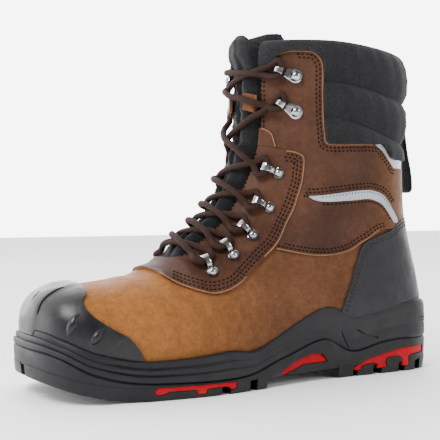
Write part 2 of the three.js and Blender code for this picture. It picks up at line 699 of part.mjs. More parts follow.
// Collar: padding sewn in three bands round the shaft. front and back give each ring's height,
// pad how far it stands off the last.
const collarColumns = ['front', 'back', 'pad'];
const collarTable = [
  [1.180, 1.180, 0.8], [1.400, 1.260, 3.4], [1.480, 1.335, 2.6], [1.512, 1.360, 1.2],
  [1.545, 1.405, 3.0], [1.625, 1.500, 4.2], [1.705, 1.605, 3.0], [1.738, 1.640, 1.2],
  [1.775, 1.685, 3.2], [1.870, 1.795, 4.4], [1.955, 1.895, 3.6], [2.000, 1.950, 0.6],
];
const collarSteps = 18;
const collarFront = 0.36;
const collarBack = 0.09;
const collarWall = 7;
const shaftMiddle = 0.275;
const collarRings = named(collarColumns, collarTable).map(({ front, back, pad }) => {
  const ring = [];
  for (let i = 0; i < collarSteps; i += 1) {
    const turn = (i / collarSteps) * 2 * Math.PI;
    const direction = new THREE.Vector3(-Math.cos(turn), -Math.sin(turn), 0);
    const spot = (along) => {
      const share = THREE.MathUtils.smoothstep(along, collarBack, collarFront);
      const from = new THREE.Vector3(alongToX(shaftMiddle), 0, heightAt(back + (front - back) * share));
      return surfaceAlong(from, direction);
    };
    const first = spot(shaftMiddle);
    const found = spot(xToAlong(first.x));
    ring.push(found.addScaledVector(direction, pad));
  }
  return ring;
});
const collar = whole(solid(loft(collarRings))
  .subtract(form(gap).intersect(below(upperTop + gap / 100)))
  .subtract(form(-collarWall)).subtract(throatLine).subtract(prism(quarterOutline, gap))
  .subtract(form(-leather).intersect(throatSlot(tongueLap + gap, throatReach, throatDeep)))
  .subtract(prism(backStripOutline, gap)));

// Pull loop: webbing sewn on at the collar's back, hanging as a loop. near and far give how far
// its two legs stand off the collar, as outsides and shares of loopStand, at each height.
const loopWidth = 20;
const loopWeb = 1.5;
const loopStand = 12.4;
const collarStand = 4.3;
const loopColumns = ['height', 'near', 'far'];
const loopTable = [
  [1.545, 0.000, 0.275],
  [1.455, 0.016, 0.435],
  [1.318, 0.097, 0.630],
  [1.182, 0.145, 0.910],
  [1.091, 0.185, 1.000],
  [1.055, 0.290, 0.960],
  [1.033, 0.580, 0.760],
];
function pullLoop() {
  const rows = named(loopColumns, loopTable);
  const middle = new THREE.Vector3(alongToX(shaftMiddle), 0, heightAt(rows[0].height));
  const seat = surfaceAlong(middle, new THREE.Vector3(1, 0, 0)).x + collarStand;
  const outline = (list, web, lift) => [
    ...list.map(({ height, near }) => (
      new THREE.Vector2(seat + near * loopStand + web, heightAt(height) + lift))),
    ...[...list].reverse().map(({ height, far }) => (
      new THREE.Vector2(seat + far * loopStand - web, heightAt(height) + lift))),
  ];
  const shape = new THREE.Shape(outline(rows, 0, 0));
  shape.holes.push(new THREE.Path(outline(rows.slice(1, -1), loopWeb, loopWeb * 0.6)));
  const geometry = new THREE.ExtrudeGeometry(shape, { depth: loopWidth, bevelEnabled: false });
  geometry.rotateX(Math.PI / 2);
  geometry.translate(0, loopWidth / 2, 0);
  return solid(geometry);
}

// A point on the last by its place in the table and its turn round the section.
function lastPoint(place, turn, side, offset) {
  const section = sectionAt(place, offset);
  const width = Math.sin(turn) ** (2 / section.crown);
  return sectionPoint(section, section.widest * (1 - Math.cos(turn) ** (2 / section.crown)), side, width);
}

// The frame of a fitting there: x towards the throat, z out of the leather.
function fittingFrame(place, turn, side, offset, lean) {
  const at = lastPoint(place, turn, side, offset);
  const towards = lastPoint(place + lean, turn - 0.1, side, offset)
    .sub(lastPoint(place - lean, turn + 0.1, side, offset)).normalize();
  const across = lastPoint(place + 0.3, turn, side, offset).sub(at);
  const out = towards.clone().cross(across).normalize();
  if (out.y * side < 0) out.negate();
  const third = out.clone().cross(towards).normalize();
  const matrix = new THREE.Matrix4().makeBasis(third.clone().cross(out), third, out);
  return matrix.setPosition(at);
}

// Lace fittings: a plate with a domed rivet, and a tunnel or an open hook for the lace.
const plateLong = 17;
const plateWide = 8.5;
const plateThickness = 1;
const rivetRadius = 3.3;
const rivetEdge = 1.8;
const rivetRise = 3.2;
const tunnelRadius = 3.4;
const tunnelWire = 1.3;
const ringWide = 5.5;
const hookRivet = 4.2;
const hookWide = 6.5;
const hookReach = 11.2;
const hookRise = 7.6;
const rivetSides = 6;
const archSteps = 3;
const tunnelAt = plateLong / 2 - tunnelRadius - tunnelWire;
const rivetAt = plateWide / 2 - plateLong / 2;
function sideCut(points, hole, wide) {
  const vectors = (list) => list.map(([x, y]) => new THREE.Vector2(x, y));
  const shape = new THREE.Shape(vectors(points));
  if (hole) shape.holes.push(new THREE.Path(vectors(hole)));
  const geometry = new THREE.ExtrudeGeometry(shape, { depth: wide, bevelEnabled: false });
  geometry.rotateX(Math.PI / 2);
  geometry.translate(0, wide / 2, 0);
  return geometry;
}
function dome(radius) {
  const profile = [[0, 0], [radius, 0], [radius, rivetEdge], [radius * 0.6, rivetRise], [0, rivetRise]];
  const points = profile.map(([x, y]) => new THREE.Vector2(x, y));
  const geometry = new THREE.LatheGeometry(points, rivetSides);
  geometry.rotateX(Math.PI / 2);
  geometry.translate(rivetAt, 0, 0);
  return geometry;
}
function arch(radius, steps, from) {
  const points = [];
  for (let i = 0; i <= steps; i += 1) {
    const turn = (i / steps) * Math.PI;
    points.push([tunnelAt + Math.cos(turn) * radius, from + Math.sin(turn) * radius]);
  }
  return points;
}
const laceRing = () => sideCut(
  [[rivetAt, 0], [tunnelAt + tunnelRadius + tunnelWire, 0],
    ...arch(tunnelRadius + tunnelWire, archSteps, 1.4),
    [rivetAt, plateThickness]],
  arch(tunnelRadius, archSteps, 1.6).reverse(), ringWide);
// Side view of the open hook, as shares of its reach and rise.
const hookProfile = [[0.76, 0.03], [1, 0.37], [0.96, 0.82], [0.80, 1], [0.40, 1], [0.40, 0.83],
  [0.75, 0.83], [0.87, 0.66], [0.88, 0.42], [0.71, 0.20]];
const speedHook = () => sideCut([[rivetAt, 0],
  ...hookProfile.map(([out, up]) => [out * hookReach, up * hookRise]),
  [rivetAt, plateThickness * 1.5]], null, hookWide);
const fittings = [];
// place, turn: where on the last. lean: how far it points up or down the boot. open: a hook or
// a ring. leather: what it sits on. seat: how many clearances it stands off that.
const fittingColumns = ['place', 'turn', 'lean', 'open', 'leather', 'seat'];
const fittingTable = [
  [15.72, 0.77, 0, 1, quarterLeather, 1],
  [13.70, 0.80, 0, 1, quarterLeather, 2],
  [8.50, 0.64, -0.25, 0, eyestayLeather, 0],
  [6.65, 0.70, -0.15, 0, eyestayLeather, 2],
  [5.52, 0.70, -0.08, 0, eyestayLeather, 2],
  [4.60, 0.70, -0.05, 0, eyestayLeather, 2],
  [3.72, 0.71, -0.03, 0, eyestayLeather, 2],
];
named(fittingColumns, fittingTable).forEach(({ place, turn, lean, open, leather: under, seat }, i) => {
  for (const side of [-1, 1]) {
    const parts = open ? [dome(hookRivet), speedHook()] : [dome(rivetRadius), laceRing()];
    const matrix = fittingFrame(place, turn, side, gap + under + seat * gap, lean);
    const body = wasm.Manifold.union(parts.map((part) => solid(part.applyMatrix4(matrix))));
    const kind = open ? 'speed_hook' : 'lace_ring';
    fittings.push({ name: `${kind}_${i + 1}_${side < 0 ? 'lateral' : 'medial'}`, body });
  }
});

// Laces: a bar at the bottom, a crossing between each pair of fittings and a bar at the top.
// The ends stop beside the fittings, below and above their middles.
const laceThick = 4.5;
const laceSides = 5;
const laceSteps = 5;
const hookFront = 12.2;
const ringFront = 9.6;
const laceBeside = 3.1;
function lacePath(from, to) {
  const curve = [];
  for (let i = 0; i <= laceSteps; i += 1) {
    const t = i / laceSteps;
    const across = 1 - 2 * t;
    const place = THREE.MathUtils.lerp(from.place, to.place, t);
    const reached = Math.abs(across) * (across > 0 ? from.wide : to.wide);
    const over = tongueProud + laceThick / 2 + 2 * gap;
    const near = THREE.MathUtils.smoothstep(reached, throatHalf(place) + 1, throatHalf(place) + 6);
    const side = across > 0 ? from.side : to.side;
    curve.push(besideCrest(place, THREE.MathUtils.lerp(over, over - 1.6, near), side, reached));
  }
  return new THREE.CatmullRomCurve3(curve);
}
function cord(path) {
  const shape = new THREE.Shape();
  for (let i = 0; i < laceSides; i += 1) {
    const turn = (i / laceSides) * 2 * Math.PI;
    const [x, y] = [Math.cos(turn) * laceThick / 2, Math.sin(turn) * laceThick / 2];
    if (i) shape.lineTo(x, y);
    else shape.moveTo(x, y);
  }
  return solid(new THREE.ExtrudeGeometry(shape, { steps: laceSteps, extrudePath: path }));
}
const rows = named(fittingColumns, fittingTable);
function laceEnd(i, side, rise) {
  const { place, turn, open } = rows[i];
  const at = lastPoint(place, turn, side, 0);
  const middle = besideCrest(place, 0, side, 0);
  const long = at.distanceTo(lastPoint(place + 1, turn, side, 0));
  return {
    side,
    place: place + rise * laceBeside / long,
    wide: Math.abs(at.y - middle.y) - (open ? hookFront : ringFront),
  };
}
const laces = [];
const lastRow = rows.length - 1;
laces.push({
  name: 'lace_bottom_bar',
  body: cord(lacePath(laceEnd(lastRow, -1, -1), laceEnd(lastRow, 1, -1))),
});
for (let i = lastRow; i > 0; i -= 1) {
  const body = cord(lacePath(laceEnd(i, -1, 1), laceEnd(i - 1, 1, -1)))
    .add(cord(lacePath(laceEnd(i, 1, 1), laceEnd(i - 1, -1, -1))));
  laces.push({ name: `lace_crossing_${lastRow - i + 1}`, body });
}
laces.push({ name: 'lace_top_bar', body: cord(lacePath(laceEnd(0, -1, 1), laceEnd(0, 1, 1))) });

const group = new THREE.Group();
function add(name, body, color, roughness, metalness) {
  const { vertProperties, triVerts } = body.getMesh();
  const geometry = new THREE.BufferGeometry();
  geometry.setAttribute('position', new THREE.Float32BufferAttribute(vertProperties, 3));
  geometry.setIndex([...triVerts]);
  geometry.computeVertexNormals();
  const mesh = new THREE.Mesh(geometry, new THREE.MeshStandardMaterial({ color, roughness, metalness }));
  mesh.name = name;
  group.add(mesh);
}
add('upper', upper, 0xc18755, 0.6, 0);
add('toe_cap', toeCap, 0x3e3e42, 0.5, 0);
add('eyestay', eyestay, 0x82583c, 0.6, 0);
add('quarter', quarter, 0x7a5038, 0.6, 0);
add('counter', counter, 0x46464b, 0.6, 0);
add('collar', collar, 0x3a3a42, 0.9, 0);
add('reflective_strip_lateral', strip(-1), 0xcdd2dc, 0.4, 0.2);
add('reflective_strip_medial', strip(1), 0xcdd2dc, 0.4, 0.2);
add('reflective_back', backStrip, 0xcdd2dc, 0.4, 0.2);
add('pull_loop', pullLoop(), 0x24242a, 0.9, 0);
add('tongue', tongue, 0x2c2c32, 0.9, 0);
add('insole', insole, 0x4c4c50, 0.9, 0);
add('midsole', midsole, 0x3e3e42, 0.6, 0);
add('outsole', outsole, 0x36363a, 0.7, 0);
for (const { name, body } of inlays) add(name, body, 0xd72d3c, 0.5, 0);
for (const { name, body } of fittings) add(name, body, 0xb4b4b8, 0.25, 1);
for (const { name, body } of laces) add(name, body, 0x5f4641, 0.8, 0);

export default group;
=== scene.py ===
import math

import bmesh
import bpy
from mathutils import Matrix, Vector
from mathutils.bvhtree import BVHTree


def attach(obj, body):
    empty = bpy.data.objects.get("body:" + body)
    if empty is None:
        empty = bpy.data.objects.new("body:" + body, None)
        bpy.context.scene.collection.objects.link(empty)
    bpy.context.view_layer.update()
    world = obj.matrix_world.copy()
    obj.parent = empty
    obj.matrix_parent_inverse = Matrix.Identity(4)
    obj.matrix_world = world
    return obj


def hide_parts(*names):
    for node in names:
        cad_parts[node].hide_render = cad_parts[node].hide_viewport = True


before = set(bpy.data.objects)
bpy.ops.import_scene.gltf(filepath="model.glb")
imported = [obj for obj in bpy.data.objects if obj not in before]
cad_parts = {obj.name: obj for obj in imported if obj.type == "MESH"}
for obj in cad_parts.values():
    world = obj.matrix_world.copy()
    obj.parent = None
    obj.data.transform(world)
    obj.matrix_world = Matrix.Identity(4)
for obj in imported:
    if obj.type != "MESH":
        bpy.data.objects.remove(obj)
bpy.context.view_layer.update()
bpy.ops.object.select_all(action="DESELECT")

# Camera. It stands before the toe on the outer side, 125 mm above the floor, and looks level
# along the boot with a long lens, as the photograph was taken.
camera_turn = math.radians(29)
camera_tilt = math.radians(-0.9)
look = Vector((math.sin(camera_turn) * math.cos(camera_tilt),
               math.cos(camera_turn) * math.cos(camera_tilt), math.sin(camera_tilt)))
bpy.ops.object.camera_add(location=(-0.4703, -0.6105, 0.1245),
                          rotation=look.to_track_quat("-Z", "Y").to_euler())
camera = bpy.context.object
camera.name = "camera"
camera.data.lens = 79.9
bpy.context.scene.camera = camera

# Floor and light. A white table top in a light tent, with a large soft box over the toe, a
# weaker one at the heel's side and one behind, so that the leather shows its grain.
bpy.ops.mesh.primitive_plane_add(size=6)
floor = bpy.context.object
floor.name = "floor"
floor_paint = bpy.data.materials.new("white_table")
floor_paint.use_nodes = True
floor_paint.node_tree.nodes["Principled BSDF"].inputs["Base Color"].default_value = (0.95, 0.95, 0.95, 1)
floor_paint.node_tree.nodes["Principled BSDF"].inputs["Roughness"].default_value = 0.7
floor.data.materials.append(floor_paint)
tent = bpy.data.worlds.new("light_tent")
bpy.context.scene.world = tent
tent.use_nodes = True
tent_back = tent.node_tree.nodes["Background"]
tent_way = tent.node_tree.nodes.new("ShaderNodeTexCoord")
tent_part = tent.node_tree.nodes.new("ShaderNodeSeparateXYZ")
tent_glow = tent.node_tree.nodes.new("ShaderNodeMapRange")
for socket, value in (("From Min", -0.35), ("From Max", 0.45), ("To Min", 0.5), ("To Max", 7.0)):
    tent_glow.inputs[socket].default_value = value
tent.node_tree.links.new(tent_way.outputs["Generated"], tent_part.inputs[0])
tent.node_tree.links.new(tent_part.outputs["Y"], tent_glow.inputs["Value"])
tent_high = tent.node_tree.nodes.new("ShaderNodeMapRange")
for socket, value in (("From Min", 0.26), ("From Max", 0.5), ("To Min", 1.0), ("To Max", 0.5)):
    tent_high.inputs[socket].default_value = value
tent_both = tent.node_tree.nodes.new("ShaderNodeMath")
tent_both.operation = "MULTIPLY"
tent.node_tree.links.new(tent_part.outputs["Z"], tent_high.inputs["Value"])
tent.node_tree.links.new(tent_glow.outputs["Result"], tent_both.inputs[0])
tent.node_tree.links.new(tent_high.outputs["Result"], tent_both.inputs[1])
tent.node_tree.links.new(tent_both.outputs[0], tent_back.inputs["Strength"])
tent_back.inputs["Color"].default_value = (1, 1, 1, 1)
for name, place, size, power in (("toe_light", (-1.1, -0.5, 1.2), 0.6, 30),
                                 ("heel_light", (0.8, -1.4, 0.9), 0.7, 12),
                                 ("back_light", (0.3, 1.2, 1.1), 0.9, 7)):
    aim = (Vector((-0.1, 0, 0.1)) - Vector(place)).to_track_quat("-Z", "Y").to_euler()
    bpy.ops.object.light_add(type="AREA", location=place, rotation=aim)
    bpy.context.object.name = name
    bpy.context.object.data.size = size
    bpy.context.object.data.energy = power

# Upper. One shell of tan pull-up leather, 2.2 mm thick, pulled over the last and left open at
# the collar, the throat and under the foot. Its flex creases were pressed in by walking.
MM = 0.001
SOLE_LENGTH = 320.0
HEEL_BACK = 42.0
BALL_WIDTH = 118.0
INSTEP_HEIGHT = 130.0
BOOT_HEIGHT = 240.0
LEATHER = 2.2
GAP = 0.3
SECTION_COLUMNS = ("front", "rise", "back", "climb", "half", "centre", "ridge",
                   "widest", "crown", "round", "end")
SECTIONS = [dict(zip(SECTION_COLUMNS, row)) for row in (
    (0.853, 0.552, 0.853, 0.000, 0.386, 0.034, 0.000, 0.70, 2.7, 2.5, 0.93),
    (0.794, 0.572, 0.794, 0.000, 0.419, 0.017, 0.008, 0.70, 2.4, 2.5, 0.93),
    (0.734, 0.604, 0.728, 0.000, 0.432, 0.000, 0.025, 0.71, 2.2, 2.5, 0.93),
    (0.675, 0.670, 0.656, 0.000, 0.428, -0.013, 0.042, 0.72, 2.0, 2.5, 0.92),
    (0.616, 0.763, 0.562, 0.000, 0.411, -0.021, 0.051, 0.72, 1.9, 2.5, 0.90),
    (0.568, 0.872, 0.450, 0.000, 0.381, -0.021, 0.042, 0.70, 1.9, 2.5, 0.88),
    (0.533, 0.995, 0.325, 0.000, 0.360, -0.017, 0.034, 0.66, 2.0, 2.6, 0.88),
    (0.510, 1.136, 0.206, 0.000, 0.350, -0.008, 0.017, 0.60, 2.1, 2.7, 0.89),
    (0.498, 1.245, 0.113, 0.000, 0.352, 0.000, 0.008, 0.57, 2.2, 2.7, 0.86),
    (0.491, 1.327, 0.056, 0.000, 0.354, 0.000, 0.000, 0.55, 2.2, 2.7, 0.72),
    (0.487, 1.400, 0.022, 0.223, 0.356, 0.000, 0.000, 0.53, 2.2, 2.6, 0.36),
    (0.484, 1.473, 0.018, 0.338, 0.358, 0.000, 0.000, 0.52, 2.2, 2.5, 0.14),
    (0.483, 1.545, 0.030, 0.500, 0.362, 0.000, 0.000, 0.51, 2.2, 2.4, 0.12),
    (0.481, 1.627, 0.051, 0.685, 0.371, 0.000, 0.000, 0.50, 2.2, 2.3, 0.12),
    (0.480, 1.709, 0.066, 0.877, 0.383, 0.000, 0.000, 0.50, 2.2, 2.2, 0.12),
    (0.479, 1.791, 0.073, 1.109, 0.394, 0.000, 0.000, 0.50, 2.2, 2.2, 0.12),
    (0.478, 1.873, 0.073, 1.382, 0.402, 0.000, 0.000, 0.50, 2.2, 2.2, 0.12),
    (0.478, 1.955, 0.070, 1.664, 0.407, 0.000, 0.000, 0.50, 2.2, 2.2, 0.12),
    (0.478, 2.045, 0.077, 1.927, 0.407, 0.000, 0.000, 0.50, 2.2, 2.2, 0.12),
    (0.478, 2.164, 0.087, 2.164, 0.403, 0.000, 0.000, 0.50, 2.2, 2.2, 0.12),
)]
TOE_ROUND = (1 - SECTIONS[0]["front"]) * SOLE_LENGTH - 6
TOE_NOSE = 47.0


def height_at(v):
    """Height in mm of a level: 0 the ground, 1 the instep, 2 the collar."""
    if v <= 1:
        return v * INSTEP_HEIGHT
    return INSTEP_HEIGHT + (v - 1) * (BOOT_HEIGHT - INSTEP_HEIGHT)


def along_to_x(along):
    return HEEL_BACK - along * SOLE_LENGTH


def x_to_along(x):
    return (HEEL_BACK - x) / SOLE_LENGTH


def ramp(value, low, high):
    t = min(max((value - low) / (high - low), 0), 1)
    return t * t * (3 - 2 * t)


def eased(a, b, c, d, t):
    v0 = (c - a) / 2
    v1 = (d - b) / 2
    return ((2 * (b - c) + v0 + v1) * t + (3 * (c - b) - 2 * v0 - v1)) * t * t + v0 * t + b


def last_value(column, place):
    end = len(SECTIONS) - 1
    row = min(int(place), end - 1)
    around = [SECTIONS[min(max(row + i, 0), end)][column] for i in (-1, 0, 1, 2)]
    return eased(*around, place - row)


def spring_at(along):
    return 13 * min(max((along - 0.77) / 0.23, 0), 1) ** 2


def floor_at(along):
    return 25 - 10 * ramp(along, 0.22, 0.62) + spring_at(along)


def last_section(place, offset, nose=1.0):
    """Cross section of the last at a row of the table, grown by offset mm."""
    def ends(u):
        back = last_value("back", u)
        low = max(floor_at(back), height_at(last_value("climb", u)))
        return (Vector((along_to_x(last_value("front", u)), height_at(last_value("rise", u)))),
                Vector((along_to_x(back), low)))

    before = ends(max(0, place - 0.05))
    after = ends(min(len(SECTIONS) - 1, place + 0.05))
    front, rear = ends(place)
    step = (after[0] - before[0]).normalized()
    front += Vector((-step.y, step.x)) * offset
    step = (after[1] - before[1]).normalized()
    rear -= Vector((-step.y, step.x)) * offset
    half = last_value("half", place) * BALL_WIDTH + offset
    if nose < 1:
        turn = nose * math.pi / 2
        slide = (TOE_ROUND + offset) * math.cos(turn) ** (2 / 2.4)
        full = math.sin(turn) ** (2 / 2.4)
        front = Vector((front.x - slide, TOE_NOSE + (front.y - TOE_NOSE) * full))
        rear.x -= slide
        rear.y = floor_at(x_to_along(rear.x + offset)) - offset
        half *= full
    section = {name: last_value(name, place) for name in ("widest", "crown", "round", "end")}
    section.update(front=front, rear=rear, half=half, centre=last_value("centre", place) * BALL_WIDTH,
                   ridge=last_value("ridge", place) * BALL_WIDTH)
    return section


def section_point(section, share, side, width):
    front, rear = section["front"], section["rear"]
    y = section["centre"] + side * section["half"] * width + section["ridge"] * (1 - width)
    return Vector((front.x + (rear.x - front.x) * share, y, front.y + (rear.y - front.y) * share))


def section_ring(section, crown_steps=32, side_steps=26, floor_steps=4):
    widest, crown, full, end = (section[name] for name in ("widest", "crown", "round", "end"))
    down = []
    for i in range(1, crown_steps + 1):
        turn = i / crown_steps * math.pi / 2
        down.append((widest * (1 - max(math.cos(turn), 0) ** (2 / crown)), math.sin(turn) ** (2 / crown)))
    cut = (1 - end ** full) ** (1 / full)
    for i in range(1, side_steps + 1):
        turn = i / side_steps * math.asin(cut ** (full / 2))
        down.append((widest + (1 - widest) * math.sin(turn) ** (2 / full) / cut, math.cos(turn) ** (2 / full)))
    down += [(1, end * (1 - i / floor_steps)) for i in range(1, floor_steps)]
    middle = section_point(section, 1, 1, 0)
    middle.y = section["centre"]
    return ([section_point(section, 0, 1, 0)] + [section_point(section, s, -1, w) for s, w in down]
            + [middle] + [section_point(section, s, 1, w) for s, w in reversed(down)])


# Flex creases: (along, level) at both ends, depth and half width in mm, and the side it is on.
CREASES = (
    ((0.700, 0.600), (0.640, 0.300), 1.3, 5.0, 0),
    ((0.655, 0.680), (0.585, 0.330), 1.1, 5.0, 0),
    ((0.745, 0.560), (0.705, 0.250), 0.9, 4.5, 0),
    ((0.610, 0.560), (0.520, 0.330), 0.9, 5.0, 0),
    ((0.430, 0.880), (0.330, 0.640), 1.0, 6.5, 0),
    ((0.370, 0.960), (0.240, 0.700), 0.9, 6.0, 0),
    ((0.460, 1.180), (0.240, 1.130), 1.0, 6.5, 0),
    ((0.400, 1.350), (0.210, 1.190), 0.8, 6.5, -1),
    ((0.395, 1.260), (0.180, 1.060), 0.8, 7.0, 1),
    ((0.455, 1.560), (0.380, 1.300), 0.8, 6.0, 0),
    ((0.450, 1.820), (0.375, 1.640), 0.7, 7.0, -1),
    ((0.300, 0.600), (0.340, 0.420), 0.8, 6.0, 0),
)


def crease_at(point):
    """How far the leather sinks (-) or swells (+) there, in mm."""
    total = 0.0
    here = Vector((point.x, point.z))
    for start, stop, depth, wide, side in CREASES:
        if side and side * point.y < 0:
            continue
        a = Vector((along_to_x(start[0]), height_at(start[1])))
        b = Vector((along_to_x(stop[0]), height_at(stop[1])))
        run = b - a
        t = (here - a).dot(run) / run.length_squared
        if t < -0.3 or t > 1.3:
            continue
        fade = ramp(t, -0.3, 0.15) * (1 - ramp(t, 0.75, 1.3))
        bend = 3.0 * math.sin(t * 7 + start[0] * 40)
        away = abs(((here - a).cross(run)) / run.length + bend)
        total += fade * depth * (0.55 * math.exp(-((away - 1.9 * wide) / wide) ** 2)
                                 - math.exp(-(away / wide) ** 2))
    return total


LAST_PLACES = ([(0, 0.05 + 0.95 * i / 26) for i in range(26)]
               + [(i / 8, 1.0) for i in range((len(SECTIONS) - 1) * 8 + 1)])
CREASE_TABLE = []


def new_piece(name, vertices, faces):
    mesh = bpy.data.meshes.new(name)
    mesh.from_pydata([tuple(v) for v in vertices], [], faces)
    made = bpy.data.objects.new(name, mesh)
    bpy.context.collection.objects.link(made)
    work = bmesh.new()
    work.from_mesh(mesh)
    bmesh.ops.recalc_face_normals(work, faces=work.faces)
    if work.calc_volume(signed=True) < 0:
        bmesh.ops.reverse_faces(work, faces=work.faces)
    work.to_mesh(mesh)
    work.free()
    return made


def loft(name, rings):
    """A closed solid through rings of points in mm, each end closed by strips across it."""
    count = len(rings[0])
    faces = []
    for r in range(len(rings) - 1):
        for i in range(count):
            a, b = r * count + i, r * count + (i + 1) % count
            faces.append((a, b, b + count, a + count))
    for base in (0, (len(rings) - 1) * count):
        for i in range(count // 2):
            strip = (base + i, base + i + 1, base + count - i - 1, base + (count - i) % count)
            faces.append(tuple(dict.fromkeys(strip)))
    return new_piece(name, [point * MM for ring in rings for point in ring],
                     [face for face in faces if len(face) > 2])


def last_form(name, offset, lift=None):
    """The last grown by offset mm, with the creases in its surface."""
    rings = [section_ring(last_section(place, offset, nose)) for place, nose in LAST_PLACES]
    count = len(rings[0])
    if not CREASE_TABLE:
        for r, ring in enumerate(rings):
            below = rings[max(r - 1, 0)]
            above = rings[min(r + 1, len(rings) - 1)]
            for i, point in enumerate(ring):
                out = (ring[(i + 1) % count] - ring[i - 1]).cross(above[i] - below[i])
                if out.dot(point - Vector((point.x + 20, 0, 60 if r < 100 else point.z))) < 0:
                    out.negate()
                amount = crease_at(point)
                CREASE_TABLE.append(out.normalized() * amount if out.length > 1e-6 else Vector())
    moved = []
    for r, ring in enumerate(rings):
        moved.append([point + CREASE_TABLE[r * count + i] for i, point in enumerate(ring)])
    if lift:
        middle = Vector((0, 0, 0))
        for ring in moved:
            for i, point in enumerate(ring):
                ring[i] = lift(point)
    return loft(name, moved)


def pick(*pieces):
    bpy.ops.object.select_all(action="DESELECT")
    for piece in pieces:
        piece.select_set(True)
    bpy.context.view_layer.objects.active = pieces[0]


def combine(target, other, operation, keep=False):
    """Joins other to target or cuts it away, then drops other unless it is kept."""
    pick(target)
    modifier = target.modifiers.new("cut", "BOOLEAN")
    modifier.operation = operation
    modifier.solver = "MANIFOLD"
    modifier.object = other
    bpy.ops.object.modifier_apply(modifier=modifier.name)
    if not keep:
        bpy.data.objects.remove(other)
    return target


def twin(piece, name):
    made = piece.copy()
    made.data = piece.data.copy()
    made.name = name
    bpy.context.collection.objects.link(made)
    return made


def drawn_through(points, steps=4, closed=False):
    """A smooth line through points, with steps to each stretch."""
    count = len(points)
    line = []
    for i in range(count if closed else count - 1):
        around = [points[(i + k) % count] if closed else points[min(max(i + k, 0), count - 1)]
                  for k in (-1, 0, 1, 2)]
        for j in range(steps):
            line.append(tuple(eased(*axis, j / steps) for axis in zip(*around)))
    if not closed:
        line.append(tuple(points[-1]))
    return line


def side_pattern(name, outline, side=0, grow=0.0, steps=4):
    """A pattern piece drawn in side view as (along, level), as a block through one or both sides."""
    flat = [Vector((along_to_x(a), height_at(v))) for a, v in
            (drawn_through(outline, steps, True) if steps > 1 else outline)]
    turn = 1 if sum(flat[i - 1].cross(p) for i, p in enumerate(flat)) > 0 else -1
    points = []
    for i, point in enumerate(flat):
        before, after = point - flat[i - 1], flat[(i + 1) % len(flat)] - point
        first = Vector((before.y, -before.x)).normalized() * turn
        middle = (first + Vector((after.y, -after.x)).normalized() * turn).normalized()
        points.append(point + middle * grow / max(middle.dot(first), 0.4))
    low, high = (-130 if side <= 0 else 0), (130 if side >= 0 else 0)
    count = len(points)
    faces = [tuple(range(count)), tuple(range(count, 2 * count))]
    faces += [(i, (i + 1) % count, count + (i + 1) % count, count + i) for i in range(count)]
    return new_piece(name, [Vector((p.x, y, p.y)) * MM for y in (low, high) for p in points], faces)


# Top view of the sole, which the leather goes into. Columns: along, half widths on the outer and
# inner side, top edge, groove over the tread, and how far the toe's steps show.
SOLE_COLUMNS = ("along", "lateral", "medial", "top", "wave", "ledge")
SOLE = [dict(zip(SOLE_COLUMNS, row)) for row in (
    (0.000, 0.345, 0.343, 0.392, 0.185, 0.0), (0.069, 0.345, 0.343, 0.415, 0.185, 0.0),
    (0.131, 0.345, 0.343, 0.408, 0.192, 0.0), (0.194, 0.350, 0.342, 0.377, 0.177, 0.0),
    (0.250, 0.350, 0.335, 0.358, 0.146, 0.0), (0.281, 0.350, 0.328, 0.350, 0.150, 0.0),
    (0.312, 0.352, 0.322, 0.385, 0.185, 0.0), (0.344, 0.356, 0.316, 0.400, 0.223, 0.0),
    (0.378, 0.363, 0.313, 0.385, 0.219, 0.0), (0.438, 0.385, 0.318, 0.323, 0.169, 0.0),
    (0.494, 0.420, 0.342, 0.254, 0.135, 0.0), (0.550, 0.452, 0.378, 0.204, 0.092, 0.0),
    (0.603, 0.474, 0.417, 0.215, 0.077, 0.0), (0.684, 0.484, 0.466, 0.200, 0.077, 0.0),
    (0.791, 0.462, 0.488, 0.192, 0.088, 0.2), (0.841, 0.435, 0.480, 0.208, 0.104, 0.5),
    (0.912, 0.430, 0.478, 0.254, 0.154, 1.0), (0.969, 0.430, 0.478, 0.315, 0.231, 1.0),
    (1.000, 0.430, 0.478, 0.354, 0.254, 1.0),
)]
TOE_START = 0.855
HEEL_START = 0.131


def sole_value(column, along):
    row = 1
    while row < len(SOLE) - 1 and SOLE[row]["along"] < along:
        row += 1
    span = SOLE[row]["along"] - SOLE[row - 1]["along"]
    t = min(max((along - SOLE[row - 1]["along"]) / span, 0), 1)
    around = [SOLE[min(max(row + i, 0), len(SOLE) - 1)][column] for i in (-2, -1, 0, 1)]
    return eased(*around, t)


def sole_stations(inset):
    stations = []

    def add(along, x, share):
        wide = min(max(along, HEEL_START), TOE_START)
        lateral = sole_value("lateral", wide) * BALL_WIDTH
        medial = sole_value("medial", wide) * BALL_WIDTH
        half = ((medial + lateral) / 2 - inset) * share
        stations.append((along, x, half - (medial - lateral) / 2, half + (medial - lateral) / 2))

    for i in range(16):
        turn = i / 16 * math.pi / 2
        out = math.cos(turn) ** (2 / 2.4)
        along = TOE_START + (1 - TOE_START) * out
        add(along, along_to_x(along) + inset * out, math.sin(turn) ** (2 / 2.4))
    for i in range(73):
        along = TOE_START + (HEEL_START - TOE_START) * i / 72
        add(along, along_to_x(along), 1)
    for i in range(1, 15):
        turn = i / 14 * math.pi / 2
        out = math.sin(turn) ** (2 / 2.3)
        along = HEEL_START * (1 - out)
        add(along, along_to_x(along) - inset * out, max(math.cos(turn), 0) ** (2 / 2.3))
    return stations


last_plain = last_form("last", 0)
last_skin = BVHTree.FromObject(last_plain, bpy.context.evaluated_depsgraph_get())
LAST_HALF = {}


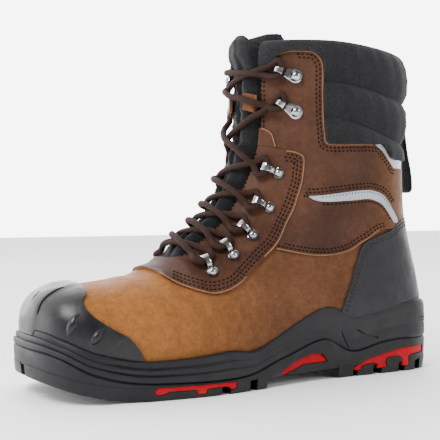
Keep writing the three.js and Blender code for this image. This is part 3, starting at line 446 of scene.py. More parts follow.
def last_half(x, z, side):
    """Half width of the last there, in mm."""
    key = (round(x * 2), round(z * 2), side)
    if key not in LAST_HALF:
        hit = last_skin.ray_cast(Vector((x, side * 150, z)) * MM, Vector((0, -side, 0)))[0]
        LAST_HALF[key] = abs(hit.y) / MM if hit and hit.y * side > 0 else 0
    return LAST_HALF[key]


def sole_ring(inset, level, hug=0.0, ledge=0.0, line=0.0):
    """A ring round the sole in mm, kept hug mm outside the leather."""
    lateral, medial = [], []
    for i, (along, x, *_) in enumerate(sole_stations(0)):
        drawn_in = inset + ledge * sole_value("ledge", along)
        if line:
            drawn_in += line * ramp(along, 0.5, 0.62) * (1 - ramp(along, 0.84, 0.92))
        _, sx, out, into = sole_stations_at(drawn_in)[i]
        z = level(along)
        if hug and HEEL_START <= along <= TOE_START:
            out = max(out, last_half(x, z, -1) + hug)
            into = max(into, last_half(x, z, 1) + hug)
        lateral.append(Vector((sx, -out, z)))
        medial.append(Vector((sx, into, z)))
    return lateral + medial[1:-1][::-1]


STATIONS = {}


def sole_stations_at(inset):
    key = round(inset, 3)
    if key not in STATIONS:
        STATIONS[key] = sole_stations(key)
    return STATIONS[key]


def wave_at(along):
    return sole_value("wave", along) * INSTEP_HEIGHT


def top_at(along):
    return sole_value("top", along) * INSTEP_HEIGHT


# Side of the rubber from the groove up: share of its height, inset in mm, steps of the toe
# ledges, and how deep the two lines along the forepart are there.
SIDE_PROFILE = ((0, 1.4, 0, 0), (0.03, 0.5, 0, 0), (0.08, 0, 0, 0), (0.22, 0, 0, 0), (0.30, 0, 0, 0.3),
                (0.335, 0.15, 0.1, 0.9), (0.36, 0.3, 0.9, 1), (0.40, 0, 1, 0.7), (0.46, 0, 1, 0),
                (0.58, 0, 1, 0), (0.635, 0.2, 1.1, 0.7), (0.665, 0.3, 1.9, 1), (0.70, 0.2, 2, 0.8),
                (0.76, 0.2, 2, 0), (0.88, 0.5, 2, 0), (0.94, 1.0, 2, 0), (0.98, 1.8, 2, 0), (1.0, 2.8, 2, 0))


def rubber_cup(name, grow):
    """The sole's cup before the leather is let into it."""
    rings = [sole_ring(2 - grow, lambda along: min(wave_at(along), floor_at(along) - 5) - grow)]
    for share, inset, steps, line in SIDE_PROFILE:
        def level(along, share=share):
            return wave_at(along) + (top_at(along) - wave_at(along)) * share + (grow if share else -grow)
        rings.append(sole_ring(inset - grow, level, 2.2 + grow - inset / 2, steps * 1.5, line * 0.8))
    return loft(name, rings)


THROAT = ((2.85, 0.060), (2.92, 0.105), (3.10, 0.130), (4.00, 0.135), (6.00, 0.140), (8.00, 0.148),
          (11.0, 0.155), (15.0, 0.158), (19.0, 0.158))


def throat_half(place):
    row = 1
    while row < len(THROAT) - 1 and THROAT[row][0] < place:
        row += 1
    (p0, h0), (p1, h1) = THROAT[row - 1], THROAT[row]
    return (h0 + (h1 - h0) * min(max((place - p0) / (p1 - p0), 0), 1)) * BALL_WIDTH


def throat_slot(name, extra, outside, inside):
    places = [THROAT[0][0] - extra / 20, 2.865, 2.88, 2.90, 2.94, 3.0, 3.1]
    places += [3.1 + (19 - 3.1) * i / 40 for i in range(1, 41)]
    rings = []
    for place in places:
        section = last_section(place, 0)
        long = (section["rear"] - section["front"]).length
        wide = throat_half(place) + extra
        ring = []
        for side, depth in ((-1, -outside), (-1, inside), (1, inside), (1, -outside)):
            point = section_point(section, depth / long, 1, 0)
            point.y = section["centre"] + section["ridge"] + side * wide
            ring.append(point)
        rings.append(ring)
    return loft(name, rings)


def add_node(material, kind, sockets=None, **settings):
    """Adds a shading node, setting or linking its sockets by name or number."""
    made = material.node_tree.nodes.new(kind)
    for name, value in settings.items():
        setattr(made, name, value)
    for name, value in (sockets or {}).items():
        if isinstance(value, bpy.types.NodeSocket):
            material.node_tree.links.new(value, made.inputs[name])
        else:
            made.inputs[name].default_value = value
    return made


def new_finish(name, roughness, metallic=0.0):
    """A material with its shader's roughness and metal set; returns both."""
    material = bpy.data.materials.new(name)
    material.use_nodes = True
    shader = material.node_tree.nodes["Principled BSDF"]
    shader.inputs["Roughness"].default_value = roughness
    shader.inputs["Metallic"].default_value = metallic
    return material, shader


def noise(material, scale, detail=3.0, vector=None, distortion=0.0):
    place = vector or add_node(material, "ShaderNodeTexCoord").outputs["Object"]
    made = add_node(material, "ShaderNodeTexNoise", {"Vector": place, "Scale": scale, "Detail": detail,
                                                    "Distortion": distortion})
    return made.outputs["Fac"]


def shades(material, value, stops):
    """A colour ramp from (place, colour) stops."""
    made = add_node(material, "ShaderNodeValToRGB", {"Fac": value})
    for i, (place, colour) in enumerate(stops):
        stop = made.color_ramp.elements[i] if i < 2 else made.color_ramp.elements.new(place)
        stop.position = place
        stop.color = (*colour, 1)
    return made.outputs["Color"]


def blended(material, share, first, second, kind="MIX"):
    made = add_node(material, "ShaderNodeMix", data_type="RGBA", blend_type=kind)
    for number, value in ((0, share), (6, first), (7, second)):
        if isinstance(value, bpy.types.NodeSocket):
            material.node_tree.links.new(value, made.inputs[number])
        elif number:
            made.inputs[number].default_value = (*value, 1)
        else:
            made.inputs[number].default_value = value
    return made.outputs[2]


def raised(material, shader, *layers):
    """Bump layers, each (height socket, strength, distance in mm)."""
    normal = None
    for height, strength, distance in layers:
        sockets = {"Height": height, "Strength": strength, "Distance": distance * MM}
        if normal:
            sockets["Normal"] = normal
        normal = add_node(material, "ShaderNodeBump", sockets).outputs["Normal"]
    material.node_tree.links.new(normal, shader.inputs["Normal"])


def hide(name, dark, plain, light, scuff, roughness=0.52, coat=0.02, grain=1.0, cloud=22.0,
         rubbed=0.45, painted_light_fade=None, shine=0.08):
    """Leather: clouded colour, pale scuffs, fine grain and small wrinkles. A fade, where given, is a
    second colour and the x in mm from and to which the hide turns to it; that fade is painted light,
    the hide drawn paler where a lamp would light it."""
    material, shader = new_finish(name, roughness)
    clouds = noise(material, cloud, 3.0, distortion=0.3)
    colour = shades(material, clouds, ((0.25, dark), (0.50, plain), (0.78, light)))
    # Painted light: the hide turns to a paler tone along x, in place of the light falling on it.
    if painted_light_fade:
        lit_tone, start, stop = painted_light_fade
        place = add_node(material, "ShaderNodeSeparateXYZ",
                         {"Vector": add_node(material, "ShaderNodeTexCoord").outputs["Object"]}).outputs["X"]
        share = add_node(material, "ShaderNodeMapRange", {"Value": place, "From Min": start * MM, "From Max": stop * MM},
                         interpolation_type="SMOOTHSTEP").outputs["Result"]
        colour = blended(material, share, colour, lit_tone)
    for scale, share, low, high in ((230.0, 0.28, 0.3, 0.72), (620.0, 0.24, 0.25, 0.75)):
        colour = blended(material, share, colour, shades(material, noise(material, scale, 4.0),
                                                         ((0.33, (low,) * 3), (0.67, (high,) * 3))), "OVERLAY")
    rub = shades(material, noise(material, 34.0, 9.0, distortion=0.2), ((0.62, (0, 0, 0)), (0.80, (rubbed,) * 3)))
    colour = blended(material, rub, colour, scuff)
    material.node_tree.links.new(colour, shader.inputs["Base Color"])
    cells = add_node(material, "ShaderNodeTexVoronoi",
                     {"Vector": add_node(material, "ShaderNodeTexCoord").outputs["Object"], "Scale": 850.0},
                     feature="DISTANCE_TO_EDGE").outputs["Distance"]
    raised(material, shader, (noise(material, 42.0, 5.0, distortion=0.8), 0.35, 2.2),
           (cells, 0.30 * grain, 0.25), (noise(material, 1500.0, 2.0), 0.25 * grain, 0.12))
    rough = add_node(material, "ShaderNodeMapRange",
                     {"Value": noise(material, 90.0, 6.0), "From Min": 0.3, "From Max": 0.7,
                      "To Min": roughness - 0.08, "To Max": roughness + 0.12}).outputs["Result"]
    material.node_tree.links.new(rough, shader.inputs["Roughness"])
    shader.inputs["Coat Weight"].default_value = coat
    shader.inputs["Coat Roughness"].default_value = 0.35
    shader.inputs["Specular IOR Level"].default_value = shine
    return material


def raw_edge(material_colour, name):
    material, shader = new_finish(name, 0.85)
    dark = tuple(c * 0.6 for c in material_colour)
    material.node_tree.links.new(shades(material, noise(material, 900.0, 3.0), ((0.3, dark), (0.7, material_colour))),
                                 shader.inputs["Base Color"])
    raised(material, shader, (noise(material, 2200.0, 2.0), 0.5, 0.2))
    return material


def dress(piece, slot, *materials):
    """Puts the finish on a piece; where there are two, the second goes on its cut edges."""
    piece.data.materials.clear()
    for material in materials:
        piece.data.materials.append(material)
    for face in piece.data.polygons:
        face.material_index = 0
    if len(materials) > 1:
        for face in piece.data.polygons:
            _, normal, _, _ = last_skin.find_nearest(face.center)
            if normal and abs(normal.dot(face.normal)) < 0.45:
                face.material_index = 1
    pick(piece)
    bpy.ops.object.shade_smooth_by_angle(angle=math.radians(38))
    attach(piece, "root")


# Painted light: the vamp's hide turns paler towards the toe, from x -95 to -225 mm.
tan_leather = hide("tan_pull_up_leather", (0.070, 0.030, 0.0145), (0.100, 0.0425, 0.0205), (0.138, 0.060, 0.0275),
                   (0.25, 0.12, 0.05), coat=0.0, rubbed=0.3, painted_light_fade=((0.225, 0.088, 0.025), -95, -225), shine=0.04)
tan_edge = raw_edge((0.26, 0.13, 0.055), "tan_leather_edge")
upper = last_form("upper", 0)
inside = last_form("inside", -LEATHER)
foot_bar = []
for place, nose in LAST_PLACES[:27 + 9 * 8]:
    section = last_section(place, -LEATHER, nose)
    wide, x = section["half"] * section["end"], section["rear"].x
    base = floor_at(x_to_along(x))
    foot_bar.append([Vector((x, section["centre"] + side * wide, base + z))
                     for side, z in ((-1, LEATHER + 1), (-1, -6), (1, -6), (1, LEATHER + 1))])
combine(inside, loft("foot_bar", foot_bar), "UNION")
combine(upper, inside, "DIFFERENCE")
combine(upper, throat_slot("throat", 0, 14, 16), "DIFFERENCE")
upper_top = ((1.4, -0.5), (-0.4, -0.5), (-0.4, 1.9), (1.4, 1.9))
combine(upper, side_pattern("below_collar", upper_top, steps=1), "INTERSECT")
dress(upper, "vamp_leather", tan_leather, tan_edge)
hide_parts("upper")

# Toe cap. Black coated leather, 2.2 mm, moulded over the steel toe. A band runs over its middle
# with a groove beside it, and two short ribs stand on its outer side.
CAP_THICKNESS = 2.2
CAP_EDGE = ((0.886, 0.68), (0.890, 0.545), (0.906, 0.500), (0.904, 0.453), (0.891, 0.413), (0.870, 0.376),
            (0.847, 0.340), (0.827, 0.310), (0.812, 0.265), (0.798, 0.200), (0.790, 0.100), (0.85, 0.02),
            (1.10, 0.02), (1.13, 0.35), (1.10, 0.75), (0.95, 0.76))
under_sole = loft("under_sole", [[Vector((along_to_x(a), y, z)) for a, y in
                                  ((1.2, -150), (-0.3, -150), (-0.3, 150), (1.2, 150))] for z in (-20, 3)])
clear_of_last = last_form("clear_of_last", GAP)
combine(clear_of_last, rubber_cup("cup_room", GAP), "UNION")
combine(clear_of_last, throat_slot("throat_room", 0.4, 14, 16), "UNION")
combine(clear_of_last, under_sole, "UNION")


def whole(piece):
    """Drops the crumbs that a cut can leave and keeps the largest body."""
    work = bmesh.new()
    work.from_mesh(piece.data)
    bmesh.ops.remove_doubles(work, verts=work.verts, dist=1e-6)
    left = set(work.verts)
    bodies = []
    while left:
        seed = left.pop()
        body, todo = {seed}, [seed]
        while todo:
            for edge in todo.pop().link_edges:
                for vert in edge.verts:
                    if vert in left:
                        left.discard(vert)
                        body.add(vert)
                        todo.append(vert)
        bodies.append(body)
    keep = max(bodies, key=len)
    bmesh.ops.delete(work, geom=[vert for vert in work.verts if vert not in keep], context="VERTS")
    work.to_mesh(piece.data)
    work.free()
    return piece


def overlay(name, thickness, pattern, without=(), lift=None):
    """A panel of that thickness on the leather, cut to a pattern, less the panels it butts."""
    made = last_form(name, GAP + thickness, lift)
    combine(made, pattern, "INTERSECT")
    combine(made, clear_of_last, "DIFFERENCE", keep=True)
    for other in without:
        combine(made, other, "DIFFERENCE")
    return whole(made)


def cap_band(point):
    """The raised band over the cap's middle, 32 mm wide and 1 mm high, with soft edges."""
    if along_to_x(0.86) < point.x:
        return point
    share = ramp(point.y, -14.5, -10.5) * (1 - ramp(point.y, 16.5, 20.5))
    share *= ramp(-point.x, -along_to_x(0.88), -along_to_x(0.905))
    return point + (point - Vector((-215, 2, 25))).normalized() * share


toe_cap = overlay("toe_cap", CAP_THICKNESS, side_pattern("cap_pattern", CAP_EDGE), lift=cap_band)


def swept(name, points, radii, sides=16):
    """A round bar along points in mm, as thick at each as radii gives, with its own map."""
    verts, spots, run = [], [], 0.0
    side = (points[1] - points[0]).orthogonal().normalized()
    for i, point in enumerate(points):
        way = (points[min(i + 1, len(points) - 1)] - points[max(i - 1, 0)]).normalized()
        side = (side - way * side.dot(way)).normalized()
        run += (point - points[i - 1]).length if i else 0
        for j in range(sides):
            turn = j / sides * 2 * math.pi
            verts.append((point + (side * math.cos(turn) + way.cross(side) * math.sin(turn)) * radii[i]) * MM)
            spots.append((run / 4.5, j / sides))
    faces = [(r * sides + j, r * sides + (j + 1) % sides, (r + 1) * sides + (j + 1) % sides, (r + 1) * sides + j)
             for r in range(len(points) - 1) for j in range(sides)]
    faces += [tuple(range(sides)), tuple(range(len(verts) - sides, len(verts)))]
    made = new_piece(name, verts, faces)
    along_map = made.data.uv_layers.new(name="length_map")
    for face in made.data.polygons:
        past = any(made.data.loops[k].vertex_index % sides == sides - 1 for k in face.loop_indices)
        for k in face.loop_indices:
            u, v = spots[made.data.loops[k].vertex_index]
            along_map.data[k].uv = (u, 1.0 if past and v == 0 else v)
    return made


def lens(name, start, stop, radius):
    """A lens-shaped rib between two points, thin at its ends."""
    points = [start.lerp(stop, i / 14) for i in range(15)]
    return swept(name, points, [radius * max(math.sin(i / 14 * math.pi), 0.08) ** 0.6 for i in range(15)])


cap_skin = BVHTree.FromObject(toe_cap, bpy.context.evaluated_depsgraph_get())


def on_cap(x, y, z, deep):
    """The nearest point of the cap's outside, sunk by deep mm."""
    hit, normal, *_ = cap_skin.find_nearest(Vector((x, y, z)) * MM + Vector((-2, 0, 3)) * MM)
    return hit / MM - normal * deep


for side in (-1, 1):
    for start, stop in (((-253, 57), (-260, 42.5)), ((-239, 47), (-247, 37))):
        ends = []
        for x, z in (start, stop):
            hit = cap_skin.ray_cast(Vector((x, side * 150, z)) * MM, Vector((0, -side, 0)))
            ends.append(hit[0] / MM - hit[1] * 0.9)
        combine(toe_cap, lens("cap_rib", ends[0], ends[1], 3.5), "UNION")
for y, shift in ((-12.5, -1.5), (18.5, 1.5)):
    line = drawn_through([tuple(on_cap(x, y + shift * i / 3, z, 0.15)) for i, (x, z) in
                          enumerate(((-252, 70), (-261, 66), (-267, 60), (-271, 52)))], 6)
    line = [Vector(point) for point in line]
    count = len(line)
    combine(toe_cap, swept("cap_groove", line, [1.35 * max(math.sin((i + 0.5) / count * math.pi), 0.1) ** 0.5
                                                for i in range(count)]), "DIFFERENCE")
combine(toe_cap, lens("cap_slot", on_cap(-262, 4, 68, 0.2), on_cap(-270, 1, 61, 0.2), 1.3), "DIFFERENCE")
cap_leather = hide("black_cap_leather", (0.0035, 0.0035, 0.0042), (0.0055, 0.0055, 0.0065), (0.009, 0.009, 0.0105),
                   (0.026, 0.026, 0.028), roughness=0.34, coat=0.10, grain=0.7, cloud=14.0, rubbed=0.2, shine=0.3)
black_edge = raw_edge((0.012, 0.012, 0.013), "black_leather_edge")
dress(toe_cap, "cap_leather", cap_leather, black_edge)
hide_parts("toe_cap")

# Eyestay. The facing of brown leather, 2.2 mm, sewn round the throat over the vamp; it carries
# the lower lace rings.
EYESTAY = ((0.735, 0.720), (0.722, 0.612), (0.709, 0.575), (0.688, 0.543), (0.659, 0.518), (0.633, 0.507),
           (0.604, 0.518), (0.568, 0.557), (0.504, 0.681), (0.471, 0.750), (0.442, 0.855), (0.420, 0.950),
           (0.405, 1.053), (0.395, 1.166), (0.396, 1.252), (0.410, 1.283), (0.432, 1.297), (0.520, 1.330),
           (0.640, 1.100))
COUNTER = ((-0.10, 0.885), (0.030, 0.880), (0.119, 0.871), (0.165, 0.814), (0.212, 0.777), (0.239, 0.749),
           (0.255, 0.705), (0.270, 0.610), (0.281, 0.522), (0.303, 0.401), (0.310, 0.300), (0.20, 0.12),
           (-0.05, 0.12), (-0.14, 0.45))
eyestay = overlay("eyestay", 2.2, side_pattern("eyestay_pattern", EYESTAY))
# Painted light: the brown hide turns paler towards the back, from x -45 to 8 mm.
brown_leather = hide("brown_pull_up_leather", (0.026, 0.011, 0.0068), (0.045, 0.0195, 0.0120), (0.074, 0.032, 0.018),
                     (0.15, 0.072, 0.038), cloud=18.0, rubbed=0.4, painted_light_fade=((0.120, 0.049, 0.020), -45, 8))
dress(eyestay, "brown_leather", brown_leather, tan_edge)
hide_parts("eyestay")

# Quarter. One brown leather panel a side, 1.5 mm, over the ankle and up both facings. It butts
# the eyestay, the counter and the reflective strips.
STRIP = ((0.384, 1.004), (0.356, 1.010), (0.252, 1.045), (0.221, 1.040), (0.192, 1.014), (0.162, 0.948),
         (0.134, 0.867), (0.151, 0.855), (0.164, 0.882), (0.191, 0.952), (0.219, 0.982), (0.243, 0.989),
         (0.287, 0.980), (0.356, 0.975))
BACK_STRIP = ((0.224, 1.343), (0.205, 1.351), (0.190, 1.320), (0.171, 1.262), (0.150, 1.250), (-0.10, 1.250),
              (-0.10, 1.200), (0.155, 1.195), (0.176, 1.245), (0.200, 1.305))
QUARTER = ((0.540, 0.770), (0.499, 0.733), (0.472, 0.722), (0.408, 0.692), (0.350, 0.680), (0.290, 0.702),
           (0.238, 0.763), (0.186, 0.820), (0.05, 0.80), (-0.10, 0.82), (-0.15, 1.0), (-0.10, 1.21),
           (0.05, 1.201), (0.153, 1.201), (0.167, 1.226), (0.197, 1.299), (0.220, 1.342), (0.280, 1.342),
           (0.330, 1.338), (0.350, 1.350), (0.356, 1.410), (0.360, 1.505), (0.362, 1.588), (0.364, 1.720),
           (0.366, 1.844), (0.377, 1.901), (0.391, 1.923), (0.420, 1.928), (0.440, 1.922), (0.454, 1.900),
           (0.462, 1.862), (0.480, 1.800), (0.56, 1.700), (0.60, 1.35))
quarter = overlay("quarter", 1.5, side_pattern("quarter_pattern", QUARTER),
                  [side_pattern("by_eyestay", EYESTAY, grow=0.3), side_pattern("by_counter", COUNTER, grow=0.3),
                   side_pattern("by_strip", STRIP, grow=0.3),
                   side_pattern("by_back_strip", BACK_STRIP, grow=0.3, steps=1)])
dress(quarter, "brown_leather", brown_leather, tan_edge)
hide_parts("quarter")

# Counter. Black leather round the heel, 1.8 mm, sewn over the quarter's lower edge.
counter = overlay("counter", 1.8, side_pattern("counter_pattern", COUNTER))
counter_leather = hide("black_counter_leather", (0.007, 0.007, 0.009), (0.012, 0.012, 0.0145),
                       (0.019, 0.019, 0.023), (0.04, 0.04, 0.045), roughness=0.5, cloud=16.0, rubbed=0.25, shine=0.25)
dress(counter, "black_leather", counter_leather, black_edge)
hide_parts("counter")

# Reflective strips. Silver glass-bead tape, 0.9 mm with its backing, let in between the panels
# over the ankle and across the shaft's back, with a row of pinholes along it.
tape, tape_shader = new_finish("silver_tape", 0.42, 0.25)
tape.node_tree.links.new(shades(tape, noise(tape, 1800.0, 2.0), ((0.35, (0.26, 0.28, 0.31)), (0.65, (0.42, 0.45, 0.50)))),
                         tape_shader.inputs["Base Color"])
raised(tape, tape_shader, (noise(tape, 1600.0, 2.0), 0.2, 0.1), (noise(tape, 60.0, 2.0), 0.25, 0.8))
strip_skins = []
for side, place in ((-1, "lateral"), (1, "medial")):
    strip = overlay(f"reflective_strip_{place}", 0.9, side_pattern("strip_pattern", STRIP, side),
                    [side_pattern("by_counter", COUNTER, grow=0.3)])
    dress(strip, "reflective", tape)
    strip_skins.append(BVHTree.FromObject(strip, bpy.context.evaluated_depsgraph_get()))
    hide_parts(f"reflective_strip_{place}")
back_strip = overlay("reflective_back", 0.9, side_pattern("back_strip_pattern", BACK_STRIP, steps=1))
dress(back_strip, "reflective", tape)
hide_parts("reflective_back")

# Collar. Padded charcoal cloth sewn in three bands round the shaft's top, 7 mm thick at the
# rim, with the lining turned in over the leather.
COLLAR_ROWS = ((1.180, 1.180, 0.8), (1.230, 1.200, 2.2), (1.320, 1.228, 3.6), (1.400, 1.270, 4.0),
               (1.465, 1.325, 3.0), (1.500, 1.352, 1.1), (1.512, 1.361, 0.3), (1.524, 1.372, 1.2),
               (1.560, 1.415, 3.6), (1.625, 1.500, 4.9), (1.690, 1.588, 3.7), (1.728, 1.630, 1.2),
               (1.738, 1.640, 0.3), (1.748, 1.650, 1.3), (1.790, 1.705, 3.9), (1.870, 1.795, 5.0),
               (1.930, 1.868, 4.5), (1.972, 1.915, 3.2), (1.995, 1.945, 1.4), (2.002, 1.954, 0.0))
rings = []
for front, back, pad in COLLAR_ROWS:
    ring = []
    for i in range(144):
        turn = i / 144 * 2 * math.pi
        way = Vector((-math.cos(turn), -math.sin(turn), 0))

        def skin_at(along):
            level = back + (front - back) * ramp(along, 0.09, 0.36)
            start = Vector((along_to_x(0.275), 0, height_at(level))) * MM
            return last_skin.ray_cast(start, way)[0] / MM

        spot = skin_at(x_to_along(skin_at(0.275).x))
        wrinkle = 0.35 * math.sin(turn * 23 + front * 19) + 0.25 * math.sin(turn * 41 + front * 31)
        ring.append(spot + way * (pad + wrinkle * min(pad / 4, 1)))
    rings.append(ring)
collar = loft("collar", rings)
inner = last_form("collar_inner", -7)
room = last_form("collar_room", GAP)
combine(room, side_pattern("below_top", upper_top, steps=1), "INTERSECT")
combine(collar, room, "DIFFERENCE")
combine(collar, inner, "DIFFERENCE")
combine(collar, throat_slot("throat_room", 0.4, 14, 16), "DIFFERENCE")
combine(collar, side_pattern("by_quarter", QUARTER, grow=0.3), "DIFFERENCE")
combine(collar, side_pattern("by_back_strip", BACK_STRIP, grow=0.3, steps=1), "DIFFERENCE")
tongue_room = throat_slot("tongue_room", 9.3, 14, 26)
combine(tongue_room, last_form("in_last", -LEATHER), "INTERSECT")
combine(collar, tongue_room, "DIFFERENCE")
whole(collar)


def cloth(name, dark, light, scale, roughness=0.92):
    """Woven cloth: mixed dark and light yarns, a fine crossed weave, and soft dents."""
    material, shader = new_finish(name, roughness)
    place = add_node(material, "ShaderNodeTexCoord").outputs["Object"]
    yarns = add_node(material, "ShaderNodeTexVoronoi", {"Vector": place, "Scale": scale}).outputs["Color"]
    mixed = noise(material, scale * 0.9, 4.0)
    ribs = [add_node(material, "ShaderNodeTexWave", {"Vector": place, "Scale": scale * 0.55, "Distortion": 1.5},
                     bands_direction=way).outputs["Fac"] for way in ("DIAGONAL", "Z")]
    weave = add_node(material, "ShaderNodeMath", {0: ribs[0], 1: ribs[1]}, operation="MULTIPLY").outputs[0]
    colour = shades(material, mixed, ((0.32, dark), (0.68, light)))
    colour = blended(material, 0.3, colour, yarns, "SOFT_LIGHT")
    colour = blended(material, 0.3, colour, shades(material, noise(material, 40.0, 5.0),
                                                   ((0.35, (0.3,) * 3), (0.65, (0.7,) * 3))), "OVERLAY")
    grey = add_node(material, "ShaderNodeHueSaturation", {"Color": colour, "Saturation": 0.45}).outputs["Color"]
    material.node_tree.links.new(grey, shader.inputs["Base Color"])
    raised(material, shader, (weave, 0.35, 0.25), (mixed, 0.5, 0.3), (noise(material, 70.0, 4.0), 0.3, 1.2))
    shader.inputs["Sheen Weight"].default_value = 0.08
    shader.inputs["Specular IOR Level"].default_value = 0.15
    return material


collar_cloth = cloth("charcoal_collar_cloth", (0.0045, 0.0045, 0.006), (0.0135, 0.0135, 0.0175), 1000.0)
lining = cloth("dark_shaft_lining", (0.008, 0.008, 0.009), (0.019, 0.019, 0.021), 800.0)
upper.data.materials.append(lining)
for face in upper.data.polygons:
    if last_skin.find_nearest(face.center)[3] > 1.7 * MM:
        face.material_index = len(upper.data.materials) - 1
dress(collar, "textile", collar_cloth)
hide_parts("collar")

# Pull loop. Black webbing, 20 mm wide and 1.5 mm thick, sewn on at the collar's back so that it
# hangs as a loop.
LOOP_ROWS = ((1.545, 0.000, 0.275), (1.455, 0.016, 0.435), (1.318, 0.097, 0.630), (1.182, 0.145, 0.910),
             (1.091, 0.185, 1.000), (1.055, 0.290, 0.960), (1.033, 0.580, 0.760))
loop_seat = last_skin.ray_cast(Vector((along_to_x(0.275), 0, height_at(1.545))) * MM,
                               Vector((1, 0, 0)))[0].x / MM + 4.3
near = [(loop_seat + n * 12.4 + 0.75, height_at(v)) for v, n, f in LOOP_ROWS[:-1]]
far = [(loop_seat + f * 12.4 - 0.75, height_at(v)) for v, n, f in LOOP_ROWS[:-1]]
bend = [(loop_seat + 0.66 * 12.4, height_at(1.033) + 0.75)]
web_line = drawn_through(near + bend + far[::-1], 6)
bpy.ops.object.select_all(action="DESELECT")
bpy.ops.mesh.primitive_grid_add(x_subdivisions=len(web_line) - 1, y_subdivisions=10, size=1)
pull_loop = bpy.context.object
pull_loop.name = "pull_loop"
loop_uv = pull_loop.data.uv_layers.active.data
for corner in pull_loop.data.loops:
    flat = pull_loop.data.vertices[corner.vertex_index].co
    loop_uv[corner.index].uv = (flat.x * len(web_line) / 20, flat.y)
for vert in pull_loop.data.vertices:
    x, z = web_line[round((vert.co.x + 0.5) * (len(web_line) - 1))]
    vert.co = Vector((x, vert.co.y * 20, z)) * MM
web_wall = pull_loop.modifiers.new("web", "SOLIDIFY")
web_wall.thickness = 1.5 * MM
web_wall.offset = 0
pick(pull_loop)
bpy.ops.object.modifier_apply(modifier="web")
web_round = pull_loop.modifiers.new("round", "BEVEL")
web_round.width = 0.4 * MM
web_round.segments = 2
web_round.angle_limit = math.radians(60)
bpy.ops.object.modifier_apply(modifier="round")
webbing, web_shader = new_finish("black_webbing", 0.85)
web_place = add_node(webbing, "ShaderNodeTexCoord").outputs["Object"]
web_ribs = add_node(webbing, "ShaderNodeTexWave", {"Vector": web_place, "Scale": 190.0, "Distortion": 1.2},
                    bands_direction="Z").outputs["Fac"]
web_cords = add_node(webbing, "ShaderNodeTexWave", {"Vector": web_place, "Scale": 110.0},
                     bands_direction="Y").outputs["Fac"]
# Painted shade: the webbing's black is drawn darker in the valleys of the ribs that the bump sinks.
webbing.node_tree.links.new(shades(webbing, web_ribs, ((0.1, (0.004, 0.004, 0.005)), (0.8, (0.012, 0.012, 0.015)))),
                            web_shader.inputs["Base Color"])
raised(webbing, web_shader, (web_ribs, 0.6, 0.35), (web_cords, 0.6, 0.4))
dress(pull_loop, "webbing", webbing)
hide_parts("pull_loop")

# Tongue. A padded tongue of black cloth behind the throat, sewn in at the toe end, with soft
# folds along it and a thick top edge.
TONGUE_UNDER = -LEATHER - 1.5


def beside_crest(place, offset, side, wide):
    """A point of the last beside its crest line, wide of it by that much."""
    section = last_section(place, offset)
    width = min(wide / (section["half"] - side * section["ridge"]), 1)
    share = section["widest"] * (1 - (1 - width ** section["crown"]) ** (1 / section["crown"]))
    return section_point(section, share, side, width)


def tongue_front(place):
    return TONGUE_UNDER + (5 - TONGUE_UNDER) * ramp(place, 2.85, 3.5)


rings = []
for step in range(131):
    place = 2.5 + (18.1 - 2.5) * step / 130
    half = throat_half(place) - 1.2
    front = tongue_front(place)
    end = 1 - ramp(place, 17.9, 18.1)
    swell = 4.0 * ramp(place, 15.6, 16.8) * (1 - ramp(place, 17.75, 18.1) * 0.8)
    half *= 1 - 0.16 * ramp(place, 17.4, 18.1) ** 2
    calm = 1 - 0.75 * ramp(place, 14.5, 16.5)

    def tongue_side(side):
        row = []
        for i in range(1, 13):
            share = i / 12
            at = place - 0.75 * share ** 3 * ramp(place, 15.5, 18.1)
            fold = 1.7 * math.sin(share * 6.5 + side * 1.3 + 0.5 * math.sin(place * 1.1)) - 0.8
            fold += 0.7 * math.sin(place * 3.1 + share * 5 + side) + 0.4 * math.sin(place * 7.3 - share * 6)
            drop = (front - TONGUE_UNDER) * (0.10 + 0.90 * max(share - 0.82, 0) / 0.18) if share > 0.82 else (
                (front - TONGUE_UNDER) * 0.10 * share / 0.82)
            inside = min(1, (1 - share) * 6)
            row.append(beside_crest(at, front - drop + fold * 0.8 * calm * inside * end * min(1, max(front, 0) / 3)
                                    + swell * inside, side, half * share))
        for i in range(1, 5):
            row.append(beside_crest(place, TONGUE_UNDER, side, half + 9 * i / 4))
        row.append(beside_crest(place, TONGUE_UNDER - 1.9, side, half + 9 + 0.4))
        row.append(beside_crest(place, TONGUE_UNDER - 3.6, side, half + 9))
        for i in range(1, 6):
            row.append(beside_crest(place, TONGUE_UNDER - 3.6 - 5.4 * math.sin(i / 6 * math.pi / 2), side,
                                    (half + 9) * (1 - i / 6)))
        return row

    rings.append([beside_crest(place, front + swell, 1, 0)] + tongue_side(-1)
                 + [beside_crest(place, TONGUE_UNDER - 9, 1, 0)] + tongue_side(1)[::-1])
tongue = loft("tongue", rings)
tongue_cloth = cloth("black_tongue_cloth", (0.003, 0.003, 0.004), (0.0095, 0.0095, 0.0125), 1000.0)
dress(tongue, "textile", tongue_cloth)
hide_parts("tongue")

# Insole. A 4 mm board covered with dark felt, laid in on the midsole.
rings = []
for place, nose in LAST_PLACES[26:27 + 9 * 8]:
    section = last_section(place, -LEATHER, nose)
    x = section["rear"].x
    if place < 1:
        continue
    wide = section["half"] * section["end"] - 2.4
    base = floor_at(x_to_along(x))
    rings.append([Vector((x, section["centre"] + side * w, base + z))
                  for side, w, z in ((-1, wide - 0.8, 4.3), (-1, wide, 3.6), (-1, wide, 0.9), (-1, wide - 0.8, 0.3),
                                     (1, wide - 0.8, 0.3), (1, wide, 0.9), (1, wide, 3.6), (1, wide - 0.8, 4.3))])
insole = loft("insole", rings)
felt = cloth("grey_insole_felt", (0.02, 0.02, 0.022), (0.045, 0.045, 0.048), 700.0)
dress(insole, "insole_board", felt)
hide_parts("insole")

# Midsole. A cup of black rubber moulded to the leather, with steps round the toe, ribs at the
# waist and the heel, and a rounded upper edge.
midsole = rubber_cup("midsole", 0)


